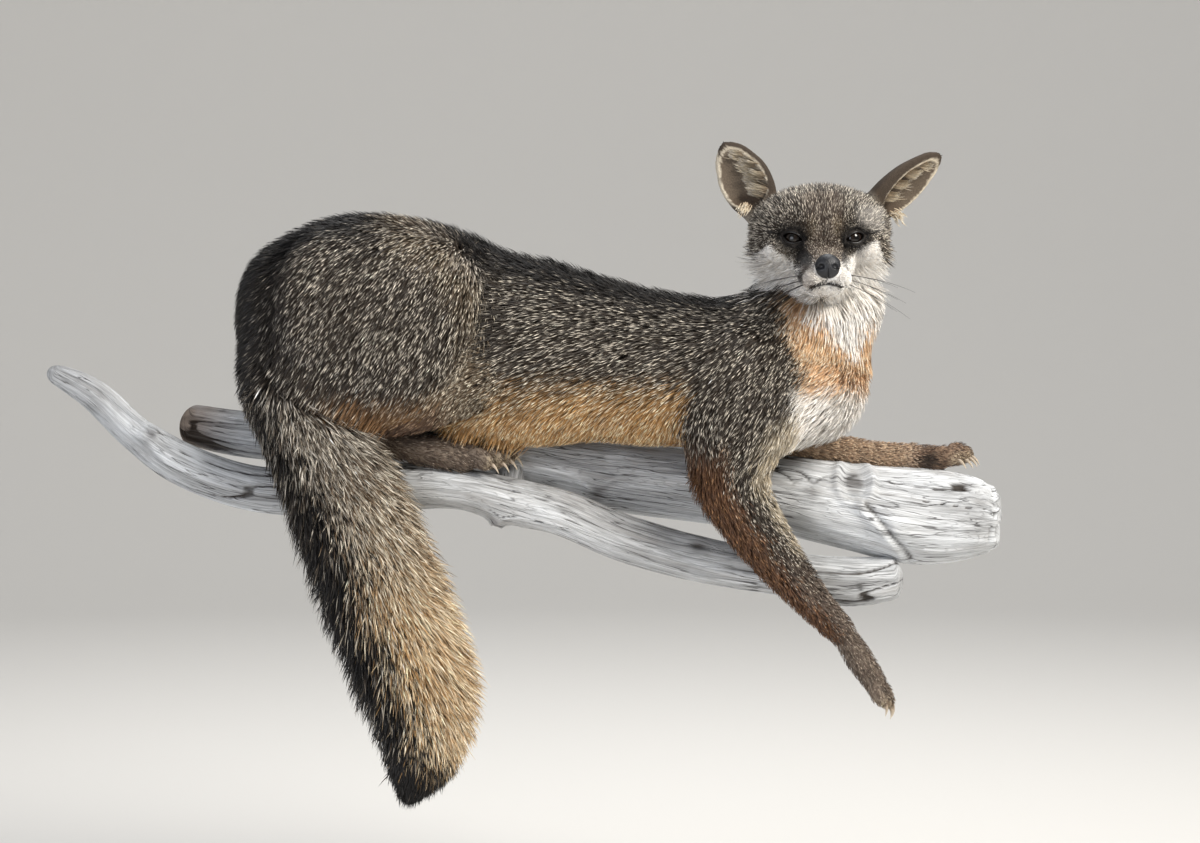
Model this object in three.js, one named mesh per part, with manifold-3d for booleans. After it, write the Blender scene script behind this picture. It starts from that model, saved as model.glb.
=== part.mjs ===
// A gray fox, mounted life-size and lying along two weathered driftwood limbs
// that hang on a wall by a hidden wooden cleat.
//
// Millimetres, +Z up. The wall is the plane y = 0 and everything stands in
// front of it, at negative y. +X runs from the rump to the chest. The origin
// is the middle of the cleat's back face. The fox's own right side faces out.
//
// Every round form is one loft: a closed skin round a smooth centre line. A
// station of a loft is [x, y, z, side, top, bottom]: a point of the centre
// line, the half-width across it and the half-heights above and below it.

import * as THREE from 'three';
import { mergeVertices } from 'three/addons/utils/BufferGeometryUtils.js';
import Module from 'manifold-3d';

const wasm = await Module();
wasm.setup();

// ---- driving sizes ---------------------------------------------------------

const GAP = 0.3; // clearance left between pieces that touch
const CLEAT = { length: 220, height: 46, depth: 12, bevel: 10 };
const FLAT_BACK = -(CLEAT.depth + GAP); // sawn back plane of the upper limb
const HEAD = { x: 175, y: -98, z: 195, yaw: -2 }; // middle of the skull
const EYE = { radius: 8, spread: 22, forward: 41, drop: 10 };
const EAR_THICKNESS = 3.6;
const CLAW = { length: 9, radius: 1.7 };
const TAIL_CUTS = [0.37, 0.7]; // where the tail's three lengths meet

// ---- coat colours ----------------------------------------------------------

const COAT = {
  grizzle: 0x5f5750,
  rust: 0xa06a3c,
  tail: 0x6a6058,
  tailTip: 0x3a342f,
  paw: 0x6e5a48,
  ear: 0x5b4c42,
};
const WOOD = 0x9c9a98;

// ---- building tools --------------------------------------------------------

function solidOf(geometry) {
  geometry.deleteAttribute('normal');
  geometry.deleteAttribute('uv');
  const merged = mergeVertices(geometry, 1e-4);
  const mesh = new wasm.Mesh({
    numProp: 3,
    vertProperties: new Float32Array(merged.attributes.position.array),
    triVerts: new Uint32Array(merged.index.array),
  });
  mesh.merge();
  return new wasm.Manifold(mesh);
}

function geometryOf(solid) {
  const mesh = solid.getMesh();
  const geometry = new THREE.BufferGeometry();
  const stride = mesh.numProp;
  const points = new Float32Array((mesh.vertProperties.length / stride) * 3);
  for (let i = 0; i < points.length / 3; i += 1) {
    for (let k = 0; k < 3; k += 1) {
      points[i * 3 + k] = mesh.vertProperties[i * stride + k];
    }
  }
  geometry.setAttribute('position', new THREE.BufferAttribute(points, 3));
  geometry.setIndex(new THREE.BufferAttribute(new Uint32Array(mesh.triVerts), 1));
  geometry.computeVertexNormals();
  return geometry;
}

// A closed skin round the stations' centre line. `across` is the direction of
// the side half-width, `blunt` the length over which an end rounds off, and
// `range` keeps only a part of the line, with flat ends where it is cut.
function loft(stations, options = {}) {
  const around = options.around ?? 16;
  const along = options.along ?? 12;
  const across = options.across ?? [0, 1, 0];
  const grow = options.grow ?? 0;
  const [from, to] = options.range ?? [0, 1];
  const lumps = options.lumps ?? (() => 1);
  const line = new THREE.CatmullRomCurve3(
    stations.map((s) => new THREE.Vector3(s[0], s[1], s[2])), false, 'centripetal');
  const sizes = new THREE.CatmullRomCurve3(
    stations.map((s) => new THREE.Vector3(s[3], s[4], s[5])), false, 'catmullrom', 0.5);
  const length = line.getLength();
  const blunt = (options.blunt ?? 30) / length;
  const cap = (u) => {
    const near = Math.min(from > 0 ? 1 : u / blunt, to < 1 ? 1 : (1 - u) / blunt, 1);
    return Math.sqrt(Math.max(0, 1 - (1 - near) ** 2));
  };
  const ref = new THREE.Vector3(...across);
  const geometry = new THREE.SphereGeometry(1, around, along);
  const place = geometry.attributes.position;
  const point = new THREE.Vector3();
  for (let i = 0; i < place.count; i += 1) {
    point.fromBufferAttribute(place, i);
    const pole = 1 - Math.abs(point.y) < 1e-6;
    let rise = (1 - point.y) / 2;
    const firstRing = (1 - Math.cos(Math.PI / along)) / 2;
    if (from > 0 && rise < firstRing + 1e-6) rise = 0;
    if (to < 1 && rise > 1 - firstRing - 1e-6) rise = 1;
    const u = from + (to - from) * rise;
    const turn = Math.atan2(point.z, point.x);
    const tangent = line.getTangent(u);
    const side = ref.clone().addScaledVector(tangent, -ref.dot(tangent)).normalize();
    const top = tangent.clone().cross(side);
    const half = sizes.getPoint(u);
    const full = pole ? 0 : cap(u) * lumps(u, turn);
    const cut = (from > 0 && rise === 0) || (to < 1 && rise === 1);
    const rim = pole ? 0 : grow;
    const c = Math.cos(turn);
    const s = Math.sin(turn);
    const centre = line.getPoint(u);
    if (pole && grow && !cut) centre.addScaledVector(tangent, u < 0.5 ? -grow : grow);
    centre.addScaledVector(side, c * (half.x * full + rim));
    centre.addScaledVector(top, s * ((s > 0 ? half.y : half.z) * full + rim));
    place.setXYZ(i, centre.x, centre.y, centre.z);
  }
  let solid = solidOf(geometry);
  if (solid.volume() < 0) {
    const index = geometry.index.array;
    for (let i = 0; i < index.length; i += 3) {
      const keep = index[i];
      index[i] = index[i + 1];
      index[i + 1] = keep;
    }
    solid = solidOf(geometry);
  }
  return solid;
}

function ball(centre, radii, grow = 0, around = 12, along = 8) {
  const geometry = new THREE.SphereGeometry(1, around, along);
  geometry.rotateX(Math.PI / 2);
  geometry.scale(radii[0] + grow, radii[1] + grow, radii[2] + grow);
  geometry.translate(centre[0], centre[1], centre[2]);
  return solidOf(geometry);
}

function box(low, high) {
  const size = high.map((value, k) => value - low[k]);
  const geometry = new THREE.BoxGeometry(...size);
  geometry.translate(...low.map((value, k) => value + size[k] / 2));
  return solidOf(geometry);
}

function joined(solids) {
  return solids.reduce((sum, solid) => sum.add(solid));
}

function without(solid, cutters) {
  return cutters.reduce((rest, cutter) => rest.subtract(cutter), solid);
}

// Keeps only the largest closed body, so no crumbs stay where pieces meet.
function largest(solid) {
  const bodies = solid.decompose();
  bodies.sort((a, b) => b.volume() - a.volume());
  return bodies[0].asOriginal().simplify(GAP / 3);
}

// A claw: a thin cone from `root` along `direction`, set 3 mm into the toe.
function claw(root, direction, size = 1) {
  const length = CLAW.length * size;
  const geometry = new THREE.ConeGeometry(CLAW.radius * size, length, 5, 1);
  const way = new THREE.Vector3(...direction).normalize();
  const turn = new THREE.Quaternion().setFromUnitVectors(new THREE.Vector3(0, 1, 0), way);
  geometry.applyQuaternion(turn);
  const middle = new THREE.Vector3(...root).addScaledVector(way, length / 2 - 3);
  geometry.translate(middle.x, middle.y, middle.z);
  return solidOf(geometry);
}

// Four toes side by side at the end of a foot, each with its claw. `tip` is
// the middle of the row, `forward` the way the foot points, `spread` the way
// across it, and the two middle toes stand further out.
function toes(tip, forward, spread, size, drop) {
  const ahead = new THREE.Vector3(...forward).normalize();
  const across = new THREE.Vector3(...spread).normalize();
  const parts = [];
  for (let i = 0; i < 4; i += 1) {
    const out = (i - 1.5) * size.pitch;
    const step = Math.abs(i - 1.5) < 1 ? size.step : 0;
    const centre = new THREE.Vector3(...tip)
      .addScaledVector(across, out)
      .addScaledVector(ahead, step - size.length / 2);
    const end = centre.clone().addScaledVector(ahead, size.length / 2);
    const way = ahead.clone().add(new THREE.Vector3(0, 0, drop));
    const toe = loft([
      [...centre.clone().addScaledVector(ahead, -size.length).toArray(),
        size.width * 0.8, size.height, size.height],
      [...centre.toArray(), size.width, size.height, size.height],
      [...end.toArray(), size.width * 0.9, size.height * 0.9, size.height * 0.9],
    ], { around: 6, along: 5, blunt: size.length * 0.5, across: spread });
    parts.push(toe, claw(end.toArray(), way.toArray(), size.claw));
  }
  return joined(parts);
}

// ---- driftwood -------------------------------------------------------------

// A slow swell and a shallow flute, so the limbs aren't turned rods.
const weathered = (phase) => (u, turn) =>
  1 + 0.045 * Math.sin(3 * turn + 9 * u + phase) + 0.035 * Math.sin(17 * u + 2 * turn + phase);

const UPPER_LIMB = [
  [-344, -48, 42, 15, 16, 16],
  [-296, -49, 33, 17, 18, 18],
  [-214, -50, 26, 18, 19, 19],
  [-140, -50, 22, 19, 19, 19],
  [-82, -47, 15, 20, 20, 20],
  [-33, -42, 6, 22, 22, 22],
  [17, -38, -2, 27, 27, 27],
  [82, -41, -9, 30, 30, 30],
  [148, -45, -17, 33, 33, 33],
  [205, -48, -27, 35, 35, 35],
  [262, -49, -36, 37, 38, 38],
  [300, -49, -37, 35, 35, 34],
  [327, -49, -38, 27, 25, 24],
];
const LOWER_LIMB = [
  [-449, -60, 85, 6, 7, 7],
  [-411, -66, 64, 11, 13, 12],
  [-373, -70, 31, 14, 15, 15],
  [-336, -74, 9, 17, 18, 18],
  [-279, -80, -10, 17, 18, 18],
  [-215, -84, -13, 17, 18, 18],
  [-151, -86, -9, 17, 18, 18],
  [-111, -85, -12, 17, 17, 17],
  [-72, -80, -21, 18, 19, 19],
  [-32, -76, -31, 18, 18, 18],
  [19, -72, -52, 18, 18, 18],
  [81, -70, -69, 18, 18, 18],
  [143, -68, -79, 18, 18, 18],
  [203, -66, -86, 19, 20, 20],
  [246, -63, -83, 14, 15, 15],
];
// A short side stub of the upper limb, which the lower limb is pinned against.
const SIDE_STUB = [
  [-74, -46, 14, 12, 13, 13],
  [-73, -62, -2, 10, 12, 12],
  [-72, -78, -16, 8, 10, 10],
];
const KNOT = { centre: [236, -79, -38], radii: [18, 8, 15] };

const behindSaw = box([-600, FLAT_BACK, -400], [600, 60, 400]);

function upperLimb(grow = 0) {
  const limb = loft(UPPER_LIMB, {
    around: 16, along: 20, blunt: 13, grow, lumps: weathered(0.4),
  });
  const stub = loft(SIDE_STUB, { around: 8, along: 6, blunt: 8, across: [1, 0, 0], grow });
  const knot = ball(KNOT.centre, KNOT.radii, grow, 10, 6);
  return joined([limb, stub, knot]).subtract(behindSaw);
}

function lowerLimb(grow = 0) {
  return loft(LOWER_LIMB, {
    around: 12, along: 24, blunt: 12, grow, lumps: weathered(2.1),
  });
}

const logUpper = largest(without(upperLimb(), [lowerLimb(GAP)]));
const logLower = lowerLimb();
const wood = [upperLimb(GAP), lowerLimb(GAP)];

// The cleat's top edge is bevelled, so that it hooks over its partner.
const cleatSection = new THREE.Shape();
cleatSection.moveTo(0, -CLEAT.height / 2);
cleatSection.lineTo(-CLEAT.depth, -CLEAT.height / 2);
cleatSection.lineTo(-CLEAT.depth, CLEAT.height / 2);
cleatSection.lineTo(0, CLEAT.height / 2 - CLEAT.bevel);
cleatSection.closePath();
const cleatGeometry = new THREE.ExtrudeGeometry(cleatSection, {
  depth: CLEAT.length, bevelEnabled: false, steps: 1,
});
cleatGeometry.applyMatrix4(new THREE.Matrix4().set(
  0, 0, 1, -CLEAT.length / 2,
  1, 0, 0, 0,
  0, 1, 0, 0,
  0, 0, 0, 1));
const cleat = solidOf(cleatGeometry);

// ---- head, in its own frame: x to the fox's left, -y ahead, z up -----------

const headMatrix = new THREE.Matrix4()
  .makeRotationZ(THREE.MathUtils.degToRad(HEAD.yaw))
  .setPosition(HEAD.x, HEAD.y, HEAD.z);
const onNeck = (solid) => solid.transform(headMatrix.elements);

const SKULL = [
  [0, 50, -4, 36, 30, 36],
  [0, 26, 0, 49, 37, 48],
  [0, 0, 0, 55, 38, 52],
  [0, -24, -5, 48, 34, 45],
  [0, -42, -13, 37, 24, 37],
  [0, -57, -25, 26, 17, 29],
];
const MUZZLE = [
  [0, -30, -26, 28, 20, 26],
  [0, -52, -31, 23, 16, 26],
  [0, -72, -37, 19, 13, 21],
  [0, -88, -40, 15, 11, 17],
];
const RUFF = [
  [26, -14, -20, 18, 22, 28],
  [44, -3, -34, 20, 26, 30],
  [58, 8, -48, 16, 20, 22],
];
const mirrored = (stations) => stations.map(([x, ...rest]) => [-x, ...rest]);

function headForm(grow = 0) {
  return joined([
    loft(SKULL, { around: 16, along: 10, blunt: 34, across: [1, 0, 0], grow }),
    loft(MUZZLE, { around: 12, along: 8, blunt: 9, across: [1, 0, 0], grow }),
    loft(RUFF, { around: 10, along: 7, blunt: 16, across: [0, 1, 0], grow }),
    loft(mirrored(RUFF), { around: 10, along: 7, blunt: 16, across: [0, 1, 0], grow }),
  ]);
}

const noseForm = (grow = 0) => ball([0, -88, -35], [9.8, 6.6, 9.4], grow, 10, 7);
const nostril = (way) => ball([way * 6, -94, -34], [2.6, 3, 2.2], 0, 6, 5);
const eyeForm = (way, grow = 0) => ball(
  [way * EYE.spread, -EYE.forward, -EYE.drop],
  [EYE.radius, EYE.radius, EYE.radius], grow, 10, 7);
const lidOpening = (way) => ball(
  [way * (EYE.spread + 1), -EYE.forward - 11, -EYE.drop], [8.6, 11, 4.4], 0, 8, 5);

// An ear: a pointed leaf bent into a scoop. `root` and `tip` end its axis,
// `opening` is the way that the scoop faces.
function ear(root, tip, opening, grow = 0) {
  const a = new THREE.Vector3(...root);
  const axis = new THREE.Vector3(...tip).sub(a);
  const face = new THREE.Vector3(...opening);
  face.addScaledVector(axis, -face.dot(axis) / axis.lengthSq()).normalize();
  const across = face.clone().cross(axis).normalize().toArray();
  const wide = [16, 21, 22, 17, 9];
  const deep = [15, 14, 11, 7, 3.5];
  const at = (k, shift, side, top, bottom) => {
    const p = a.clone().addScaledVector(axis, k / 4).addScaledVector(face, shift);
    return [p.x, p.y, p.z, side, top, bottom];
  };
  const shell = loft(wide.map((w, k) => at(k, 0, w, 4, deep[k])),
    { around: 12, along: 9, blunt: 14, across, grow });
  if (grow) return shell;
  const t = EAR_THICKNESS;
  const scoop = loft(wide.map((w, k) => at(0.35 + k * 0.86, 4 + t, w - t, 14, deep[k])),
    { around: 10, along: 7, blunt: 12, across });
  return shell.subtract(scoop);
}
const EAR_RIGHT = [[-45, 9, 16], [-77, 13, 72], [-0.24, -0.96, -0.12]];
const EAR_LEFT = [[44, 9, 15], [98, 14, 62], [0.49, -0.62, -0.57]];

const headSolid = largest(without(headForm(), [
  noseForm(GAP),
  eyeForm(1, GAP), eyeForm(-1, GAP), lidOpening(1), lidOpening(-1),
]));
const headCutter = onNeck(headForm(GAP));
const earRight = largest(ear(...EAR_RIGHT).subtract(headForm(GAP)));
const earLeft = largest(ear(...EAR_LEFT).subtract(headForm(GAP)));
const nose = without(noseForm(), [nostril(1), nostril(-1)]);

// ---- trunk and neck --------------------------------------------------------

const TRUNK = [
  [-291, -84, 112, 40, 48, 48],
  [-252, -86, 120, 57, 68, 66],
  [-204, -87, 125, 62, 85, 78],
  [-144, -86, 122, 63, 83, 80],
  [-96, -84, 106, 62, 78, 78],
  [-48, -84, 98, 62, 77, 76],
  [0, -84, 93, 60, 67, 67],
  [40, -84, 87, 60, 63, 64],
  [84, -84, 83, 61, 61, 61],
  [132, -84, 79, 64, 64, 64],
  [177, -82, 79, 55, 56, 54],
  [217, -80, 86, 42, 44, 42],
];
const NECK = [
  [132, -86, 84, 52, 46, 54],
  [156, -84, 116, 54, 50, 60],
  [171, -82, 149, 50, 47, 60],
  [177, -80, 181, 44, 41, 46],
];

const trunkForm = (grow = 0) => loft(TRUNK, { around: 18, along: 16, blunt: 36, grow });
const neckForm = (grow = 0) => loft(NECK, { around: 14, along: 7, blunt: 30, grow });

const trunk = largest(without(trunkForm(), [...wood, headCutter]));
const neck = largest(without(neckForm(), [trunkForm(GAP), headCutter]));

// ---- hind legs -------------------------------------------------------------

const THIGH_RIGHT = [
  [-264, -112, 120, 34, 42, 42],
  [-222, -118, 122, 50, 76, 74],
  [-172, -121, 121, 56, 86, 84],
  [-125, -121, 112, 52, 78, 78],
  [-84, -117, 99, 34, 42, 46],
];
const SHANK_RIGHT = [
  [-92, -128, 82, 23, 27, 28],
  [-140, -124, 60, 23, 26, 26],
  [-200, -108, 43, 15, 17, 17],
];
const HINDPAW_RIGHT = [
  [-203, -104, 39, 13, 14, 15],
  [-170, -98, 27, 13, 13, 14],
  [-127, -94, 16, 15, 11, 13],
  [-84, -91, 9, 17, 10, 11],
];
const THIGH_LEFT = [
  [-250, -58, 118, 30, 44, 44],
  [-215, -54, 122, 38, 70, 68],
  [-172, -52, 121, 39, 78, 76],
  [-130, -52, 112, 38, 70, 70],
  [-96, -54, 101, 26, 40, 42],
];
const SHANK_LEFT = [
  [-104, -44, 84, 20, 25, 26],
  [-148, -42, 66, 19, 23, 24],
  [-198, -40, 57, 14, 15, 16],
];
const HINDPAW_LEFT = [
  [-202, -42, 56, 12, 12, 16],
  [-165, -45, 48, 12, 11, 14],
  [-124, -47, 42, 15, 10, 12],
  [-86, -48, 37, 14, 9, 10],
];
const HIND_TOE = { pitch: 8.4, step: 5, length: 15, width: 5, height: 5.6, claw: 1 };
const FAR_TOE = { pitch: 8, step: 4, length: 13, width: 4.8, height: 5, claw: 0.9 };

const thighForm = (stations, grow = 0) => loft(stations, {
  around: 16, along: 9, blunt: 40, grow,
});
const legForm = (stations, grow = 0, options = {}) => loft(stations, {
  around: 10, along: 8, blunt: 14, grow, ...options,
});

const thighRight = largest(thighForm(THIGH_RIGHT).subtract(trunkForm(GAP)));
const thighLeft = largest(without(thighForm(THIGH_LEFT), [trunkForm(GAP), ...wood]));
const hips = [trunkForm(GAP), thighForm(THIGH_RIGHT, GAP), thighForm(THIGH_LEFT, GAP)];
const shankRight = largest(without(legForm(SHANK_RIGHT), hips));
const shankLeft = largest(without(legForm(SHANK_LEFT), [...hips, ...wood]));
const hindpawRight = largest(without(
  joined([
    legForm(HINDPAW_RIGHT, 0, { along: 9 }),
    toes([-71, -91, 6], [1, 0.06, -0.16], [0, 1, 0], HIND_TOE, -0.4),
  ]),
  [...hips, legForm(SHANK_RIGHT, GAP), ...wood]));
const hindpawLeft = largest(without(
  joined([
    legForm(HINDPAW_LEFT, 0, { along: 8 }),
    toes([-76, -49, 33], [1, 0, -0.12], [0, 1, 0], FAR_TOE, -0.4),
  ]),
  [...hips, legForm(SHANK_LEFT, GAP), ...wood]));

// ---- forelegs --------------------------------------------------------------

const SHOULDER_RIGHT = [
  [132, -104, 128, 32, 40, 40],
  [124, -114, 92, 38, 48, 48],
  [114, -118, 58, 38, 50, 50],
  [103, -118, 26, 34, 46, 46],
  [100, -116, 2, 28, 36, 35],
];
const FOREARM_RIGHT = [
  [102, -116, 12, 28, 36, 34],
  [101, -115, -4, 25, 33, 32],
  [113, -113, -27, 22, 28, 27],
  [137, -110, -62, 18, 23, 22],
  [168, -105, -99, 14, 16, 16],
  [196, -100, -129, 12, 12, 12],
];
const FOREPAW_RIGHT = [
  [195, -100, -128, 11, 11, 11],
  [207, -98, -147, 14, 12, 12],
  [224, -95, -173, 14, 10, 9],
];
const FOREARM_LEFT = [
  [128, -46, 36, 15, 16, 18],
  [182, -47, 24, 12, 12, 14],
  [222, -48, 17, 11, 11, 13],
  [264, -49, 14, 11, 11, 13],
];
const FOREPAW_LEFT = [
  [262, -49, 14, 11, 11, 13],
  [279, -50, 12, 15, 12, 14],
  [293, -50, 10, 16, 11, 13],
];
const FORE_TOE = { pitch: 7.6, step: 5, length: 15, width: 4.8, height: 5.2, claw: 1 };

const shoulderRight = largest(legForm(SHOULDER_RIGHT, 0, { around: 16, along: 9, blunt: 30 })
  .subtract(trunkForm(GAP))
  .subtract(neckForm(GAP))
  .subtract(headCutter));
const shoulders = [
  trunkForm(GAP),
  legForm(SHOULDER_RIGHT, GAP, { around: 16, along: 9, blunt: 30 }),
];
const forearmRight = largest(without(
  legForm(FOREARM_RIGHT, 0, { around: 14, along: 12 }), [...shoulders, ...wood]));
const forearmLeft = largest(without(
  legForm(FOREARM_LEFT, 0, { along: 9 }), [...shoulders, ...wood]));
const forepawRight = largest(without(
  joined([
    legForm(FOREPAW_RIGHT, 0, { along: 7, blunt: 9 }),
    toes([231, -94, -183], [0.53, 0.1, -0.84], [0.3, 0.95, 0.1], FORE_TOE, -0.35),
  ]),
  [legForm(FOREARM_RIGHT, GAP, { around: 14, along: 12 })]));
const forepawLeft = largest(without(
  joined([
    legForm(FOREPAW_LEFT, 0, { along: 7, blunt: 9 }),
    toes([304, -50, 7], [0.97, 0, -0.2], [0, 1, 0], FORE_TOE, -0.4),
  ]),
  [legForm(FOREARM_LEFT, GAP, { along: 9 }), ...wood]));

// ---- tail ------------------------------------------------------------------

const TAIL = [
  [-248, -96, 116, 32, 32, 40],
  [-243, -112, 78, 38, 38, 46],
  [-224, -127, 34, 39, 41, 43],
  [-198, -134, -18, 42, 51, 51],
  [-174, -133, -80, 46, 55, 55],
  [-153, -129, -134, 46, 55, 54],
  [-140, -125, -182, 43, 52, 51],
  [-142, -122, -220, 31, 37, 36],
  [-152, -120, -258, 13, 15, 15],
];

function tailForm(range, along) {
  return loft(TAIL, { around: 14, along, blunt: 34, range });
}

const seam = 0.0005; // half of the gap between two lengths, as a part of the tail
const tailBase = largest(without(
  tailForm([0, TAIL_CUTS[0] - seam], 9),
  [...hips, legForm(SHANK_RIGHT, GAP), legForm(HINDPAW_RIGHT, GAP, { along: 9 }), ...wood]));
const tailMiddle = largest(without(
  tailForm([TAIL_CUTS[0] + seam, TAIL_CUTS[1] - seam], 8), [...hips, ...wood]));
const tailTip = tailForm([TAIL_CUTS[1] + seam, 1], 9);

// ---- the named pieces ------------------------------------------------------

const group = new THREE.Group();
group.name = 'gray_fox_taxidermy';

function add(name, solid, color, roughness = 0.9, metalness = 0) {
  const material = new THREE.MeshStandardMaterial({ color, roughness, metalness });
  const mesh = new THREE.Mesh(geometryOf(solid), material);
  mesh.name = name;
  group.add(mesh);
}

add('head', onNeck(headSolid), COAT.grizzle);
add('nose', onNeck(nose), 0x25272b, 0.45);
add('eye_right', onNeck(eyeForm(-1)), 0x1c1511, 0.08);
add('eye_left', onNeck(eyeForm(1)), 0x1c1511, 0.08);
add('ear_right', onNeck(earRight), COAT.ear);
add('ear_left', onNeck(earLeft), COAT.ear);
add('neck', neck, 0xd9cfc0);
add('trunk', trunk, COAT.grizzle);
add('shoulder_right', shoulderRight, COAT.grizzle);
add('forearm_right', forearmRight, COAT.rust);
add('forepaw_right', forepawRight, COAT.paw);
add('forearm_left', forearmLeft, COAT.rust);
add('forepaw_left', forepawLeft, COAT.paw);
add('thigh_right', thighRight, COAT.grizzle);
add('shank_right', shankRight, COAT.rust);
add('hindpaw_right', hindpawRight, COAT.paw);
add('thigh_left', thighLeft, COAT.grizzle);
add('shank_left', shankLeft, COAT.rust);
add('hindpaw_left', hindpawLeft, COAT.paw);
add('tail_base', tailBase, COAT.tail);
add('tail_middle', tailMiddle, COAT.tail);
add('tail_tip', tailTip, COAT.tailTip);
add('log_upper', logUpper, WOOD, 0.85);
add('log_lower', logLower, WOOD, 0.85);
add('wall_cleat', cleat, 0xb08d5f, 0.7);

export default group;
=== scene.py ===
# %% [markdown]
# # A gray fox at rest on driftwood
# A life-size museum mount: one skin over the whole animal, a coat of some
# three hundred thousand tufts, glass eyes, horn claws, and two weathered limbs.
# Everything stays in the frame of the solid model, in metres, wall at y = 0.

# %% Tools and frame
import math
import time

import bpy
import numpy as np
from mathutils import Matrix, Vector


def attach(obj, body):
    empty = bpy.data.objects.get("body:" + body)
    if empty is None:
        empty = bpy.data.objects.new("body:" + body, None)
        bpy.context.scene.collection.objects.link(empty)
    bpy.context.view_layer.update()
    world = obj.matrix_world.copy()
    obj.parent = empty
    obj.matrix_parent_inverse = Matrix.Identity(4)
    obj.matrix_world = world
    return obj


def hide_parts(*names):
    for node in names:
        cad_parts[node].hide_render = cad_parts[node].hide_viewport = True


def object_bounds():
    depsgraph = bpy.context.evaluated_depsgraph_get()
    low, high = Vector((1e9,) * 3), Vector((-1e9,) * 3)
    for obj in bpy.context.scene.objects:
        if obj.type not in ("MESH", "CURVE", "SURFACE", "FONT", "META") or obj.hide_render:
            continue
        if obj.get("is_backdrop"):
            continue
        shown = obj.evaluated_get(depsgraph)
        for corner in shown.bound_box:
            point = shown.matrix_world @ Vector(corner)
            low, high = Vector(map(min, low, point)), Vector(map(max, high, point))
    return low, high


STARTED = time.time()
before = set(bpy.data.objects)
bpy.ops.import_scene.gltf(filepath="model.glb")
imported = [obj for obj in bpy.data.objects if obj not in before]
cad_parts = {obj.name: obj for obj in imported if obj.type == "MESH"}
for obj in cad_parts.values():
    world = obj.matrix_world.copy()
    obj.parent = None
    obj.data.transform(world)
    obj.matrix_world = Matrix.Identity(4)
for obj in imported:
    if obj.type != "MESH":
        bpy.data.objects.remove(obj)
CAD_BOX = [[float(v) for v in corner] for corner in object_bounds()]
MM = 0.001
RNG = np.random.default_rng(20)


def say(*words):
    print(f"[{time.time() - STARTED:6.1f} s]", *words, flush=True)


say("frame", CAD_BOX)

# %% [markdown]
# ## Forms from a centre line
# Each round form is a smooth centre line with an oval section that changes
# along it. A station is [x, y, z, side, top, bottom, coat] in millimetres: a
# point, the oval's half-sizes, and how deep the hair lies over the skin there.
# A form answers, for any point in space, how far it is from its surface. Forms
# then melt into each other where they meet, as muscle under skin does.

# %% Centre lines and ovals
def four_nearest(points, count):
    """At count places along a row of points: two points before, two after, and
    the share of the way from the second to the third."""
    p = np.asarray(points, float)
    ends = np.vstack([2 * p[0] - p[1], p, 2 * p[-1] - p[-2]])
    t = np.linspace(0, 1, count) * (len(p) - 1)
    i = np.minimum(t.astype(int), len(p) - 2)
    return [ends[i + k] for k in range(4)], (t - i)[:, None]


def spline(points, count):
    """A centripetal Catmull-Rom curve through the points."""
    (p0, p1, p2, p3), w = four_nearest(points, count)
    d0, d1, d2 = (np.maximum(np.linalg.norm(b - a, axis=1), 1e-4)[:, None] ** 0.5
                  for a, b in ((p0, p1), (p1, p2), (p2, p3)))
    m1 = ((p1 - p0) / d0 - (p2 - p0) / (d0 + d1) + (p2 - p1) / d1) * d1
    m2 = ((p2 - p1) / d1 - (p3 - p1) / (d1 + d2) + (p3 - p2) / d2) * d1
    return (p1 + m1 * w + (-3 * p1 + 3 * p2 - 2 * m1 - m2) * w ** 2
            + (2 * p1 - 2 * p2 + m1 + m2) * w ** 3)


def smooth(points, count):
    """The same, evenly weighted: for sizes that change along a line."""
    (p0, p1, p2, p3), w = four_nearest(points, count)
    return 0.5 * (2 * p1 + (p2 - p0) * w + (2 * p0 - 5 * p1 + 4 * p2 - p3) * w ** 2
                  + (3 * p1 - p0 - 3 * p2 + p3) * w ** 3)


def unit(v):
    return v / np.maximum(np.linalg.norm(v, axis=-1, keepdims=True), 1e-9)


def ramp(low, high, v):
    """0 below low, 1 above high, smooth between; low may be the higher one."""
    t = np.clip((v - low) / (high - low), 0, 1)
    return t * t * (3 - 2 * t)


def between(low, high, soft, v):
    return ramp(low - soft, low + soft, v) * ramp(high + soft, high - soft, v)


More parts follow.
